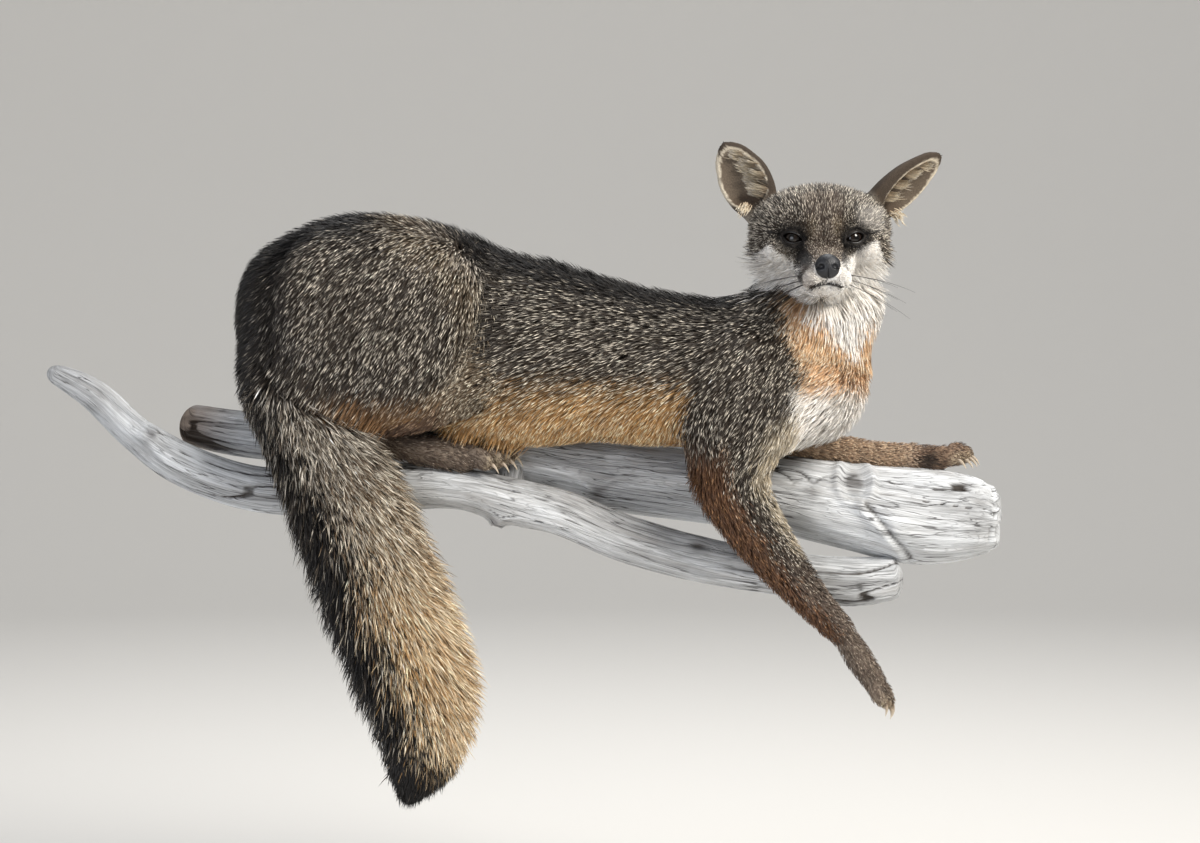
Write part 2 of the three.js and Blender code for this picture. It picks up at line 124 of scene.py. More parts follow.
class Form:
    """An oval section swept along a line, rounded at its ends."""

    def __init__(self, stations, across=(0, 1, 0), blunt=30.0, melt=12.0, place=None, lead=0):
        s = np.asarray(stations, float)
        if lead:
            first = s[0].copy()
            first[:3] -= unit(s[1, :3] - s[0, :3]) * lead
            s = np.vstack([first, s])
        if place is not None:
            s = s.copy()
            s[:, :3] = place(s[:, :3])
            across = place(np.array([across]), turn_only=True)[0]
        rough = spline(s[:, :3], 200)
        self.length = float(np.linalg.norm(np.diff(rough, axis=0), axis=1).sum())
        self.count = int(max(12, self.length / (6 if place is None else 1.5)))
        self.line = spline(s[:, :3], self.count)
        step = np.linalg.norm(np.diff(self.line, axis=0), axis=1)
        self.s = np.concatenate([[0], np.cumsum(step)])
        self.along = unit(np.gradient(self.line, axis=0))
        ref = np.asarray(across, float)
        self.side = unit(ref - (self.along @ ref)[:, None] * self.along)
        self.top = np.cross(self.along, self.side)
        self.size = smooth(s[:, 3:7], self.count)
        self.blunt = blunt
        self.melt = melt
        reach = self.size[:, :3].max() + 34
        self.low = self.line.min(0) - reach
        self.high = self.line.max(0) + reach

    def locate(self, p):
        """Where p is along the form, and its offset in the section there."""
        near = np.empty(len(p), int)
        for k in range(0, len(p), 200000):
            q = p[k:k + 200000].astype(np.float32)
            c = self.line.astype(np.float32)
            near[k:k + 200000] = ((c * c).sum(1) - 2 * q @ c.T).argmin(1)
        slide = ((p - self.line[near]) * self.along[near]).sum(1)
        s = self.s[near] + slide
        spot = np.interp(s, self.s, np.arange(self.count))
        i = np.minimum(spot.astype(int), self.count - 2)
        w = (spot - i)[:, None]
        mix = lambda a: a[i] * (1 - w) + a[i + 1] * w
        centre, side, top, along = (mix(a) for a in (self.line, self.side, self.top, self.along))
        v = p - centre
        return spot / (self.count - 1), s, (v * side).sum(1), (v * top).sum(1), mix(self.size), along

    def distance(self, p, coat=True):
        _, s, a, b, size, _ = self.locate(p)
        deep = size[:, 3] if coat else 0.0
        ra = np.maximum(size[:, 0] - deep, 1.0)
        rb = np.maximum(np.where(b > 0, size[:, 1], size[:, 2]) - deep, 1.0)
        re = np.maximum(self.blunt - deep, 1.0)
        e = np.maximum(np.maximum(self.blunt - s, s - (self.length - self.blunt)), 0)
        ratio = np.sqrt((a / ra) ** 2 + (b / rb) ** 2 + (e / re) ** 2)
        reach = np.sqrt(a * a + b * b + e * e)
        return reach * (1 - 1 / np.maximum(ratio, 1e-4))


class Ball:
    """An ellipsoid, for muscle, brow and cheek."""

    def __init__(self, centre, radii, melt=6.0, place=None, turn=None):
        self.centre = np.asarray(centre, float)
        if place is not None:
            self.centre = place(self.centre[None])[0]
        self.radii = np.asarray(radii, float)
        self.turn = np.eye(3) if turn is None else turn
        self.melt = melt
        reach = self.radii.max() + 14
        self.low = self.centre - reach
        self.high = self.centre + reach

    def distance(self, p):
        v = (p - self.centre) @ self.turn
        ratio = np.sqrt(((v / self.radii) ** 2).sum(1))
        return np.sqrt((v * v).sum(1)) * (1 - 1 / np.maximum(ratio, 1e-4))


def melted(a, b, k):
    """Smooth union of two distances, rounded over k."""
    h = np.maximum(k - np.abs(a - b), 0) / k
    return np.minimum(a, b) - h * h * k * 0.25


def carved(a, b, k):
    """Smooth cut: what is in a and outside b."""
    return -melted(-a, b, k)


# %% [markdown]
# ## The fox, form by form
# The same sizes as the solid model, with the coat's depth added as the last
# figure. The head is made in a frame of its own, turned to face the viewer.

# %% Body sizes
TRUNK = [
    [-291, -84, 112, 40, 48, 48, 13],
    [-252, -86, 120, 57, 68, 66, 14],
    [-204, -87, 125, 62, 85, 78, 14],
    [-144, -86, 122, 63, 83, 80, 14],
    [-96, -84, 106, 62, 78, 78, 14],
    [-48, -84, 98, 62, 77, 76, 15],
    [0, -84, 93, 60, 67, 67, 14],
    [40, -84, 87, 60, 63, 64, 14],
    [84, -84, 83, 61, 61, 61, 14],
    [132, -84, 79, 64, 64, 64, 14],
    [177, -82, 79, 55, 56, 54, 14],
    [217, -80, 86, 42, 44, 42, 13],
]
NECK = [
    [132, -86, 84, 52, 46, 54, 15],
    [156, -84, 116, 54, 50, 60, 17],
    [171, -82, 149, 50, 47, 60, 17],
    [177, -80, 181, 44, 41, 46, 11],
]
THIGH_RIGHT = [
    [-264, -112, 120, 34, 42, 42, 12],
    [-222, -118, 122, 50, 76, 74, 12],
    [-172, -121, 121, 56, 86, 84, 12],
    [-125, -121, 112, 52, 78, 78, 12],
    [-84, -117, 99, 34, 42, 46, 10],
]
SHANK_RIGHT = [
    [-92, -128, 82, 23, 27, 28, 8],
    [-140, -124, 60, 23, 26, 26, 8],
    [-200, -108, 43, 15, 17, 17, 5],
]
HINDPAW_RIGHT = [
    [-203, -104, 39, 13, 14, 15, 4],
    [-170, -98, 27, 13, 13, 14, 3.5],
    [-127, -94, 18, 15, 13, 15, 3],
    [-108, -92, 15, 15, 14, 15, 3],
    [-95, -91, 12, 15, 10, 12, 2.5],
]
THIGH_LEFT = [
    [-250, -58, 118, 30, 44, 44, 11],
    [-215, -54, 122, 38, 70, 68, 11],
    [-172, -52, 121, 39, 78, 76, 11],
    [-130, -52, 112, 38, 70, 70, 11],
    [-96, -54, 101, 26, 40, 42, 9],
]
SHANK_LEFT = [
    [-104, -44, 84, 20, 25, 26, 7],
    [-148, -42, 66, 19, 23, 24, 7],
    [-198, -40, 57, 14, 15, 16, 4],
]
HINDPAW_LEFT = [
    [-202, -42, 56, 12, 12, 16, 3],
    [-165, -45, 48, 12, 11, 14, 3],
    [-124, -47, 42, 15, 10, 12, 3],
    [-86, -48, 37, 14, 9, 10, 2.5],
]
SHOULDER_RIGHT = [
    [132, -104, 128, 32, 40, 40, 12],
    [124, -114, 92, 38, 48, 48, 12],
    [114, -118, 58, 38, 50, 50, 12],
    [103, -118, 26, 34, 46, 46, 12],
    [100, -116, 2, 28, 36, 35, 10],
]
FOREARM_RIGHT = [
    [102, -116, 12, 28, 36, 34, 11],
    [101, -115, -4, 25, 33, 32, 10],
    [113, -113, -27, 22, 28, 27, 8],
    [137, -110, -62, 18, 23, 22, 6.5],
    [168, -105, -99, 14, 16, 16, 4.5],
    [196, -100, -129, 12, 12, 12, 3.5],
]
FOREPAW_RIGHT = [
    [195, -100, -128, 11, 11, 11, 3],
    [207, -98, -147, 14, 12, 12, 2.5],
    [224, -95, -173, 14, 10, 9, 2.5],
]
FOREARM_LEFT = [
    [128, -46, 36, 15, 16, 18, 4],
    [182, -47, 24, 12, 12, 14, 3.5],
    [222, -48, 17, 11, 11, 13, 3],
    [264, -49, 14, 11, 11, 13, 2.5],
]
FOREPAW_LEFT = [
    [262, -49, 14, 11, 11, 13, 2.5],
    [275, -50, 12, 14, 12, 14, 2.5],
    [285, -50, 11, 15, 10, 13, 2.5],
]
TAIL = [
    [-248, -96, 116, 32, 32, 40, 20],
    [-243, -112, 78, 38, 38, 46, 26],
    [-224, -127, 34, 39, 41, 43, 28],
    [-198, -134, -18, 42, 51, 51, 34],
    [-174, -133, -80, 46, 55, 55, 38],
    [-153, -129, -134, 46, 55, 54, 39],
    [-140, -125, -182, 43, 52, 51, 38],
    [-142, -122, -220, 31, 37, 36, 26],
    [-152, -120, -258, 13, 15, 15, 9],
]
UPPER_LIMB = [
    [-344, -48, 42, 15, 16, 16, 0],
    [-296, -49, 33, 17, 18, 18, 0],
    [-214, -50, 26, 18, 19, 19, 0],
    [-140, -50, 22, 19, 19, 19, 0],
    [-82, -47, 15, 20, 20, 20, 0],
    [-33, -42, 6, 22, 22, 22, 0],
    [17, -38, -2, 27, 27, 27, 0],
    [82, -41, -9, 30, 30, 30, 0],
    [148, -45, -17, 33, 33, 33, 0],
    [205, -48, -27, 35, 35, 35, 0],
    [262, -49, -36, 37, 38, 38, 0],
    [300, -49, -37, 35, 35, 34, 0],
    [327, -49, -38, 27, 25, 24, 0],
]
LOWER_LIMB = [
    [-449, -60, 85, 6, 7, 7, 0],
    [-411, -66, 64, 11, 13, 12, 0],
    [-373, -70, 31, 14, 15, 15, 0],
    [-336, -74, 9, 17, 18, 18, 0],
    [-279, -80, -10, 17, 18, 18, 0],
    [-215, -84, -13, 17, 18, 18, 0],
    [-151, -86, -9, 17, 18, 18, 0],
    [-111, -85, -12, 17, 17, 17, 0],
    [-72, -80, -21, 18, 19, 19, 0],
    [-32, -76, -31, 18, 18, 18, 0],
    [19, -72, -52, 18, 18, 18, 0],
    [81, -70, -69, 18, 18, 18, 0],
    [143, -68, -79, 18, 18, 18, 0],
    [203, -66, -86, 19, 20, 20, 0],
    [246, -63, -83, 14, 15, 15, 0],
]

# %% Head frame and sizes
HEAD_AT = np.array([175.0, -98.0, 195.0])
YAW = math.radians(-2)
HEAD_TURN = np.array([[math.cos(YAW), -math.sin(YAW), 0],
                      [math.sin(YAW), math.cos(YAW), 0],
                      [0, 0, 1]])


def from_head(p, turn_only=False):
    """Head frame (x to its left, -y ahead, z up) to the row's frame."""
    q = np.asarray(p, float) @ HEAD_TURN.T
    return q if turn_only else q + HEAD_AT


def to_head(p):
    return (np.asarray(p, float) - HEAD_AT) @ HEAD_TURN


SKULL = [
    [0, 50, -4, 36, 30, 36, 12],
    [0, 26, 0, 52, 37, 48, 10],
    [0, 0, 0, 58, 38, 52, 10],
    [0, -24, -5, 50, 34, 45, 7],
    [0, -42, -14, 37, 23, 35, 5],
    [0, -57, -26, 25, 16, 27, 4],
]
MUZZLE = [
    [0, -30, -26, 28, 20, 25, 4],
    [0, -52, -31, 22, 15, 24, 3],
    [0, -72, -37, 17.5, 12, 17, 2],
    [0, -88, -40, 13, 9.5, 12, 1.5],
]
RUFF = [
    [26, -14, -20, 18, 22, 28, 12],
    [44, -3, -34, 20, 26, 30, 14],
    [58, 8, -48, 16, 20, 22, 14],
]
JAW = [
    [0, -36, -46, 17, 12, 10, 3],
    [0, -60, -49, 10, 9, 8, 2],
    [0, -80, -51.2, 6.6, 5.6, 5.6, 1],
]
EYE_R, EYE_SPREAD, EYE_AHEAD, EYE_DROP = 8.0, 22.0, 41.0, 10.0
EAR_RIGHT = [[-45, 9, 16], [-77, 13, 72], [-0.24, -0.96, -0.12]]
EAR_LEFT = [[44, 9, 15], [98, 14, 62], [0.49, -0.62, -0.57]]
EAR_WIDE = [16, 21, 22, 17, 9]
EAR_BACK = {-1: [1.8, 1.2, 0.9, 0.5, 0.2], 1: [4.4, 3.8, 2.8, 1.3, 0.3]}    # back seen past the rim
EAR_DEEP = [15, 14, 11, 7, 3.5]
SCOOP_AHEAD = 6.8                                   # how far the scoop stands before the shell


def mirror(stations):
    return [[-row[0], *row[1:]] for row in stations]


def ear_forms(root, tip, opening):
    """The shell of an ear and the scoop cut out of it, and its own axes."""
    a = np.array(root, float)
    axis = np.array(tip, float) - a
    face = np.array(opening, float)
    face = unit(face - axis * (face @ axis) / (axis @ axis))
    across = unit(np.cross(face, axis))
    outer = across * np.sign(a[0]) * np.sign(across[0])
    slide = EAR_BACK[int(np.sign(a[0]))]
    row = lambda k, shift, side, top, bottom, out=0: [
        *(a + axis * k / 4 + face * shift + outer * out), side, top, bottom, 0]
    shell = Form([row(k, 0, w - 0.8, 3.2, EAR_DEEP[k] - 0.8) for k, w in enumerate(EAR_WIDE)],
                 across, blunt=13, melt=5, place=from_head, lead=16)
    scoop = Form([row(0.35 + k * 0.895, SCOOP_AHEAD, w - 2.5 - slide[k], 14, EAR_DEEP[k] - 0.2, slide[k])
                  for k, w in enumerate(EAR_WIDE)], across, blunt=12, melt=2, place=from_head)
    return shell, scoop, a, axis, face, across


# %% [markdown]
# ## The skin's distance field
# All the flesh forms melt together. The eye openings, mouth line and ears are
# cut in, and the limbs of wood are kept clear of the paws that rest on them.

# %% Flesh
BODY = {
    "trunk": Form(TRUNK, blunt=36, melt=22),
    "neck": Form(NECK, blunt=30, melt=26),
    "thigh_right": Form(THIGH_RIGHT, blunt=40, melt=8),
    "shank_right": Form(SHANK_RIGHT, blunt=14, melt=12, lead=20),
    "hindpaw_right": Form(HINDPAW_RIGHT, blunt=14, melt=7, lead=8),
    "thigh_left": Form(THIGH_LEFT, blunt=40, melt=16),
    "shank_left": Form(SHANK_LEFT, blunt=14, melt=12, lead=20),
    "hindpaw_left": Form(HINDPAW_LEFT, blunt=14, melt=7, lead=8),
    "shoulder_right": Form(SHOULDER_RIGHT, blunt=30, melt=20),
    "forearm_right": Form(FOREARM_RIGHT, blunt=14, melt=12, lead=30),
    "forepaw_right": Form(FOREPAW_RIGHT, blunt=9, melt=6, lead=16),
    "forearm_left": Form(FOREARM_LEFT, blunt=14, melt=10, lead=25),
    "forepaw_left": Form(FOREPAW_LEFT, blunt=9, melt=6, lead=12),
    "tail": Form(TAIL, blunt=34, melt=18, lead=20),
    "skull": Form(SKULL, (1, 0, 0), blunt=34, melt=16, place=from_head),
    "muzzle": Form(MUZZLE, (1, 0, 0), blunt=9, melt=12, place=from_head),
    "jaw": Form(JAW, (1, 0, 0), blunt=8, melt=4, place=from_head, lead=26),
    "ruff_left": Form(RUFF, (0, 1, 0), blunt=16, melt=16, place=from_head),
    "ruff_right": Form(mirror(RUFF), (0, 1, 0), blunt=16, melt=16, place=from_head),
}
WOOD = {
    "upper": Form(UPPER_LIMB, blunt=13, melt=1),
    "lower": Form(LOWER_LIMB, blunt=12, melt=1),
}
FACE_BALLS = []
for way in (1, -1):
    FACE_BALLS += [
        Ball([way * 20, -40, -1.5], [13, 9, 5], 7, from_head),       # brow
        Ball([way * 32, -30, -17], [12, 16, 9], 10, from_head),      # cheek bone
        Ball([way * 8.6, -77, -44], [8.4, 12, 7.6], 5, from_head),   # whisker pad
    ]
EARS = {"right": ear_forms(*EAR_RIGHT), "left": ear_forms(*EAR_LEFT)}


def paw_toes(tip, forward, spread, pitch, step, length, wide, tall):
    """Four arched toes of a paw as forms, and the point and way of each claw."""
    ahead = unit(np.array(forward, float))
    across = unit(np.array(spread, float))
    up = unit(np.cross(across, ahead))
    up = up if up[2] - 0.6 * up[0] > -0.2 and up[2] > -0.5 else -up
    forms, claws = [], []
    for i in range(4):
        out = (i - 1.5) * pitch
        push = step if abs(i - 1.5) < 1 else 0.0
        centre = np.array(tip, float) + across * out + ahead * (push - length / 2)
        rows = [(centre - ahead * length + up * tall * 0.1, 0.7, 0.9),
                (centre - ahead * length * 0.2 + up * tall * 0.22, 0.95, 1.0),
                (centre + ahead * length * 0.45 - up * tall * 0.12, 1.0, 0.86)]
        forms.append(Form([[*c, wide * w, tall * h, tall * h, 0.9] for c, w, h in rows],
                          spread, blunt=length * 0.45, melt=2.5))
        claws.append((centre + ahead * (length * 0.5) + up * tall * 0.1, ahead, across))
    return forms, claws


PAWS = {
    "hindpaw_right": paw_toes([-76, -91, 9.5], [1, -0.25, -0.42], [0.75, 1, 0.2], 10.4, 2, 16, 5.2, 9.6),
    "hindpaw_left": paw_toes([-76, -49, 34], [1, 0, -0.12], [0, 1, 0], 8.4, 4, 14, 4.7, 7.0),
    "forepaw_right": paw_toes([231, -94, -182], [0.53, 0.1, -0.84], [0.3, 0.95, 0.1],
                              8.2, 5, 16, 4.7, 6.6),
    "forepaw_left": paw_toes([300, -50, 11], [0.97, -0.2, -0.3], [0.6, 1, 0.1], 9.8, 2, 16, 5.0, 8.6),
}


NAMES = list(BODY)
OWNERS = [(NAMES.index(name), form) for name, form in BODY.items()]
OWNERS += [(NAMES.index(name), toe) for name, (toes, _) in PAWS.items() for toe in toes]


def owner(p):
    """Number of the form whose skin is nearest to each point."""
    best = np.full(len(p), FAR)
    number = np.zeros(len(p), int)
    for k, form in OWNERS:
        near = np.flatnonzero(inside(form, p))
        if len(near):
            d = form.distance(p[near])
            closer = d < best[near]
            best[near[closer]] = d[closer]
            number[near[closer]] = k
    return number


def owned(number, *names):
    return np.isin(number, [NAMES.index(name) for name in names])


def ear_place(p):
    """Where p is on an ear: 0 off, 1 outside, 2 inside; share of its height;
    offset towards the crown, in half-widths; and how close to its rim."""
    kind = np.zeros(len(p), int)
    high, inward, lip = np.zeros((3, len(p)))
    for shell, scoop, root, axis, _, across in EARS.values():
        near = np.flatnonzero(inside(shell, p))
        if not len(near):
            continue
        q = p[near]
        d_out, d_in = np.abs(shell.distance(q)), np.abs(scoop.distance(q))
        v = to_head(q) - root
        h = v @ axis / (axis @ axis)
        half = np.interp(h, np.linspace(0, 1, 5), EAR_WIDE)
        crown = -np.sign(root[0]) * np.sign(across[0])
        hit = (np.minimum(d_out, d_in) < 1.7) & (h > 0.02)
        here = near[hit]
        kind[here] = np.where(d_in[hit] < d_out[hit], 2, 1)
        high[here] = h[hit]
        inward[here] = (crown * (v @ across) / half)[hit]
        lip[here] = np.exp(-(np.maximum(d_out, d_in)[hit] / 1.9) ** 2)
    return kind, high, inward, lip


def inside(form, p, margin=0.0):
    return np.all((p > form.low - margin) & (p < form.high + margin), axis=1)


FAR = 30.0                                         # beyond this a distance is only "far"
WOOD_GAP = 0.6
NOSE_HOLLOW = np.array([8.6, 5.6, 8.2])            # half-sizes of the seat of the nose pad
NOT_FLESH = ("jaw", "ruff_left", "ruff_right")     # the ruff is hair alone


def apply(form, p, d, how, **depth):
    """Brings a form into the field d at the points near enough to feel it."""
    near = np.flatnonzero(inside(form, p))
    if len(near):
        d[near] = how(d[near], form.distance(p[near], **depth))
    return d


def eye_axes(way):
    """Middle of an eyeball and its own axes: out to the side, ahead, up."""
    centre = from_head(np.array([[way * EYE_SPREAD, -EYE_AHEAD, -EYE_DROP]]))[0]
    yaw = math.radians(24) * way
    ahead = np.array([math.sin(yaw), -math.cos(yaw), 0.02])
    ahead = from_head(unit(ahead)[None], True)[0]
    lean = math.radians(14)
    side = np.array([way * math.cos(yaw) * math.cos(lean), abs(math.sin(yaw)) * math.cos(lean),
                     math.sin(lean)])
    side = from_head(side[None], True)[0]
    side = unit(side - ahead * (side @ ahead))
    up = np.cross(side, ahead) * (-1 if way > 0 else 1)
    if up[2] < 0:
        up = -up
    return centre, side, ahead, up


EYES = {1: eye_axes(1), -1: eye_axes(-1)}
LID_HALF = 8.4                                      # half the length of the opening
SOCKET_R, LID_R, LID_THICK = 9.6, 9.0, 0.95         # hollow, middle of the lid, half its thickness
EYE_ROOM = 8.15                                     # kept free of skin for the glass eye


def lid_curves(t):
    """Upper and lower lid across the eye, t from -1 (inner) to 1 (outer)."""
    t = np.clip(t, -1, 1)
    upper = 4.2 * (1 - t * t) ** 0.75 + 0.1
    lower = -4.1 * (1 - t * t) ** 0.9 - 0.1
    return upper, lower


def lid_slit(p, way):
    """Signed distance to the almond opening between the lids."""
    centre, side, ahead, up = EYES[way]
    v = p - centre
    x, y, z = v @ side, v @ ahead, v @ up
    upper, lower = lid_curves((x + 0.3) / LID_HALF)
    slit = np.maximum(np.maximum(z - upper, lower - z), np.abs(x + 0.3) - LID_HALF)
    return np.maximum(slit, 1.0 - y)


def flesh(p):
    """Distance to the skin for points p in millimetres."""
    d = np.full(len(p), FAR)
    for name, form in BODY.items():
        if name in NOT_FLESH:
            continue
        d = apply(form, p, d, lambda a, b, k=form.melt: melted(a, b, k))
    for ball in FACE_BALLS:
        d = apply(ball, p, d, lambda a, b, k=ball.melt: melted(a, b, k))
    for forms, _ in PAWS.values():
        toes = np.full(len(p), FAR)
        for toe in forms:
            toes = apply(toe, p, toes, lambda a, b: melted(a, b, 0.5))
        near = toes < 12
        d[near] = melted(d[near], toes[near], 3.0)
    for shell, scoop, *_ in EARS.values():
        near = np.flatnonzero(inside(shell, p))
        if len(near):
            q = p[near]
            ear = carved(shell.distance(q), scoop.distance(q), 1.0)
            d[near] = melted(d[near], ear, 4.0)
    d = mouth(p, d)
    for way in (1, -1):
        centre = EYES[way][0]
        v = np.linalg.norm(p - centre, axis=1)
        near = np.flatnonzero(v < 26)
        if len(near):
            q, r = p[near], v[near]
            socket = carved(d[near], r - SOCKET_R, 3.0)
            lids = melted(socket, np.abs(r - LID_R) - LID_THICK, 1.6)
            lids = np.maximum(lids, -lid_slit(q, way))
            d[near] = np.maximum(lids, EYE_ROOM - r)
    for form in WOOD.values():
        d = apply(form, p, d, lambda a, b: np.maximum(a, WOOD_GAP - b))
    nose = np.linalg.norm((p - NOSE_AT) / NOSE_HOLLOW, axis=1)
    near = nose < 1.6
    d[near] = np.maximum(d[near], (1 - nose[near]) * 6.0)
    return d


NOSE_AT = from_head(np.array([[0, -88, -35]]))[0]


def lip_line(q):
    """Height of the closed lips across the muzzle, a shallow arch."""
    return -47.9 - 0.105 * (np.sqrt(q[:, 0] ** 2 + 2) - 1.4) ** 1.38


def mouth(p, d):
    """Joins the jaw under a shallow groove that runs back from the lip."""
    jaw = BODY["jaw"]
    near = np.flatnonzero(inside(jaw, p))
    if len(near) == 0:
        return d
    q = to_head(p[near])
    line = lip_line(q)
    both = melted(d[near], jaw.distance(p[near]), 8.0)
    groove = np.maximum(np.abs(q[:, 2] - line) - 0.55, q[:, 1] + 46)
    depth = np.maximum(groove, -(both + 1.9))
    d[near] = carved(both, depth, 0.8)
    return d


say("forms ready")

# %% [markdown]
# ## From field to mesh
# A surface net: space is cut into small cells, and every cell that the skin
# runs through gets one corner of the mesh. The cells are small at the face and
# grow with distance from it, so that lids and lips are fine and flanks light,
# in one closed mesh with no seam. A net was chosen over joined tubes with a
# remesh because the limbs can then melt into the trunk by a chosen amount.

# %% Surface net
FACE = from_head(np.array([[0, -26, 4]]))[0]
MAGNIFY = 1.7
SPREAD = 105.0
SKIN_CELL = 2.9


def stretch(r):
    return r * (1 + MAGNIFY / (1 + (r / SPREAD) ** 2))


RADII = np.linspace(0, 900, 9001)
STRETCHED = stretch(RADII)


def to_row(q):
    """From the stretched space, where all cells are alike, to millimetres."""
    s = np.linalg.norm(q, axis=1)
    return FACE + q * (np.interp(s, STRETCHED, RADII) / np.maximum(s, 1e-6))[:, None]


def to_stretched(p):
    v = p - FACE
    r = np.linalg.norm(v, axis=1)
    return v * (stretch(r) / np.maximum(r, 1e-6))[:, None]


def surface_net(field, low, high, cell, place=lambda q: q, block=4):
    """Closed mesh (corners, quads) where the field is zero."""
    blocks = np.ceil((high - low) / (cell * block)).astype(int)
    at = np.stack(np.meshgrid(*[np.arange(n) for n in blocks], indexing="ij"), -1).reshape(-1, 3)
    middle = field(place(low + (at + 0.5) * cell * block))
    full = np.repeat(np.repeat(np.repeat(middle.reshape(blocks), block, 0), block, 1), block, 2)
    value = np.pad(full, ((0, 1),) * 3, mode="edge").astype(np.float32)
    value = np.where(value < 0, -FAR, FAR).astype(np.float32)
    near = at[np.abs(middle) < cell * block * 1.25 + 3]
    steps = np.arange(block + 1)
    offset = np.stack(np.meshgrid(steps, steps, steps, indexing="ij"), -1).reshape(-1, 3)
    nodes = (near[:, None] * block + offset[None]).reshape(-1, 3)
    flat = np.unique(np.ravel_multi_index(nodes.T, value.shape))
    spot = np.stack(np.unravel_index(flat, value.shape), 1)
    value.ravel()[flat] = field(place(low + spot * cell))
    solid = value < 0
    corners = [(x, y, z) for x in (0, 1) for y in (0, 1) for z in (0, 1)]
    shape = np.array(value.shape) - 1
    part = lambda a, c: a[c[0]:c[0] + shape[0], c[1]:c[1] + shape[1], c[2]:c[2] + shape[2]]
    count = sum(part(solid, c).astype(np.int8) for c in corners)
    cells = np.flatnonzero((count > 0) & (count < 8))
    number = np.full(int(np.prod(shape)), -1, np.int64)
    number[cells] = np.arange(len(cells))
    number = number.reshape(shape)
    base = np.stack(np.unravel_index(cells, tuple(shape)), 1)
    total = np.zeros((len(cells), 3))
    hits = np.zeros(len(cells))
    for axis in range(3):
        for c in corners:
            if c[axis]:
                continue
            a = base + np.array(c)
            b = a.copy()
            b[:, axis] += 1
            va, vb = value[tuple(a.T)], value[tuple(b.T)]
            cross = (va < 0) != (vb < 0)
            t = np.where(cross, va / np.where(va == vb, 1, va - vb), 0)
            point = a.astype(float)
            point[:, axis] += t
            total[cross] += point[cross]
            hits += cross
    verts = low + total / hits[:, None] * cell
    quads = []
    for axis in range(3):
        one, two = (axis + 1) % 3, (axis + 2) % 3
        a = np.moveaxis(solid, axis, 0)
        edge = np.moveaxis(a[:-1] != a[1:], 0, axis)
        where = np.stack(np.nonzero(edge), 1)
        where = where[(where[:, one] > 0) & (where[:, two] > 0)
                      & (where[:, one] < shape[one]) & (where[:, two] < shape[two])]
        ring = []
        for s1, s2 in ((-1, -1), (0, -1), (0, 0), (-1, 0)):
            q = where.copy()
            q[:, one] += s1
            q[:, two] += s2
            ring.append(number[tuple(q.T)])
        quad = np.stack(ring, 1)
        out = solid[tuple(where.T)]
        quad[~out] = quad[~out][:, ::-1]
        quads.append(quad)
    quads = np.concatenate(quads)
    return place(verts), quads[(quads >= 0).all(1)]


def slope(field, p, h=0.35):
    """Direction in which the field grows, from four samples."""
    arms = np.array([[1, -1, -1], [-1, -1, 1], [-1, 1, -1], [1, 1, 1]], float)
    return sum(arm * field(p + arm * h)[:, None] for arm in arms) / (4 * h)


def relax(verts, quads, times=1, amount=0.5):
    """Moves each corner towards the middle of its neighbours."""
    for _ in range(times):
        total = np.zeros_like(verts)
        hits = np.zeros(len(verts))
        for k in range(4):
            a, b = quads[:, k], quads[:, (k + 1) % 4]
            np.add.at(total, a, verts[b])
            np.add.at(total, b, verts[a])
            np.add.at(hits, a, 1)
            np.add.at(hits, b, 1)
        verts = verts + (total / np.maximum(hits, 1)[:, None] - verts) * amount
    return verts


def settle(field, verts, times=2):
    """Puts the corners back on the surface."""
    for _ in range(times):
        g = slope(field, verts)
        d = field(verts)
        step = d / np.maximum((g * g).sum(1), 0.25)
        verts = verts - g * np.clip(step, -1.2, 1.2)[:, None]
    return verts


def mesh_object(name, verts, faces, smooth_shade=True):
    """A mesh object from millimetre corners and faces of one length."""
    faces = np.asarray(faces, np.int32)
    mesh = bpy.data.meshes.new(name)
    mesh.vertices.add(len(verts))
    mesh.vertices.foreach_set("co", (np.asarray(verts) * MM).astype(np.float32).ravel())
    mesh.loops.add(faces.size)
    mesh.loops.foreach_set("vertex_index", faces.ravel())
    mesh.polygons.add(len(faces))
    mesh.polygons.foreach_set("loop_start", np.arange(0, faces.size, faces.shape[1], dtype=np.int32))
    mesh.update(calc_edges=True)
    if smooth_shade:
        mesh.shade_smooth()
    obj = bpy.data.objects.new(name, mesh)
    bpy.context.scene.collection.objects.link(obj)
    return obj


box = np.array([[x, y, z] for x in (-340, 345) for y in (-200, -4) for z in (-275, 285)], float)
grid = np.stack(np.meshgrid(*[np.linspace(box[0, k], box[-1, k], 12) for k in range(3)],
                            indexing="ij"), -1).reshape(-1, 3)
reach = to_stretched(grid)
skin_verts, skin_quads = surface_net(flesh, reach.min(0), reach.max(0), SKIN_CELL, to_row)
say("net", len(skin_verts), "corners", len(skin_quads), "quads")
skin_verts = relax(skin_verts, skin_quads, 2, 0.6)
skin_verts = settle(flesh, skin_verts)
skin_verts = relax(skin_verts, skin_quads, 1, 0.35)
say("skin settled")

# %% [markdown]
# ## How deep the hair is, and which way it lies
# The hair fills the space between the skin and the model's outline, so its
# depth is measured from one to the other. It lies from nose to tail and down
# the legs; each form gives its own way and the ways blend where forms meet.

# %% Depth and lie of the coat
FACE_HAIR, TOE_HAIR = 2.2, 0.4


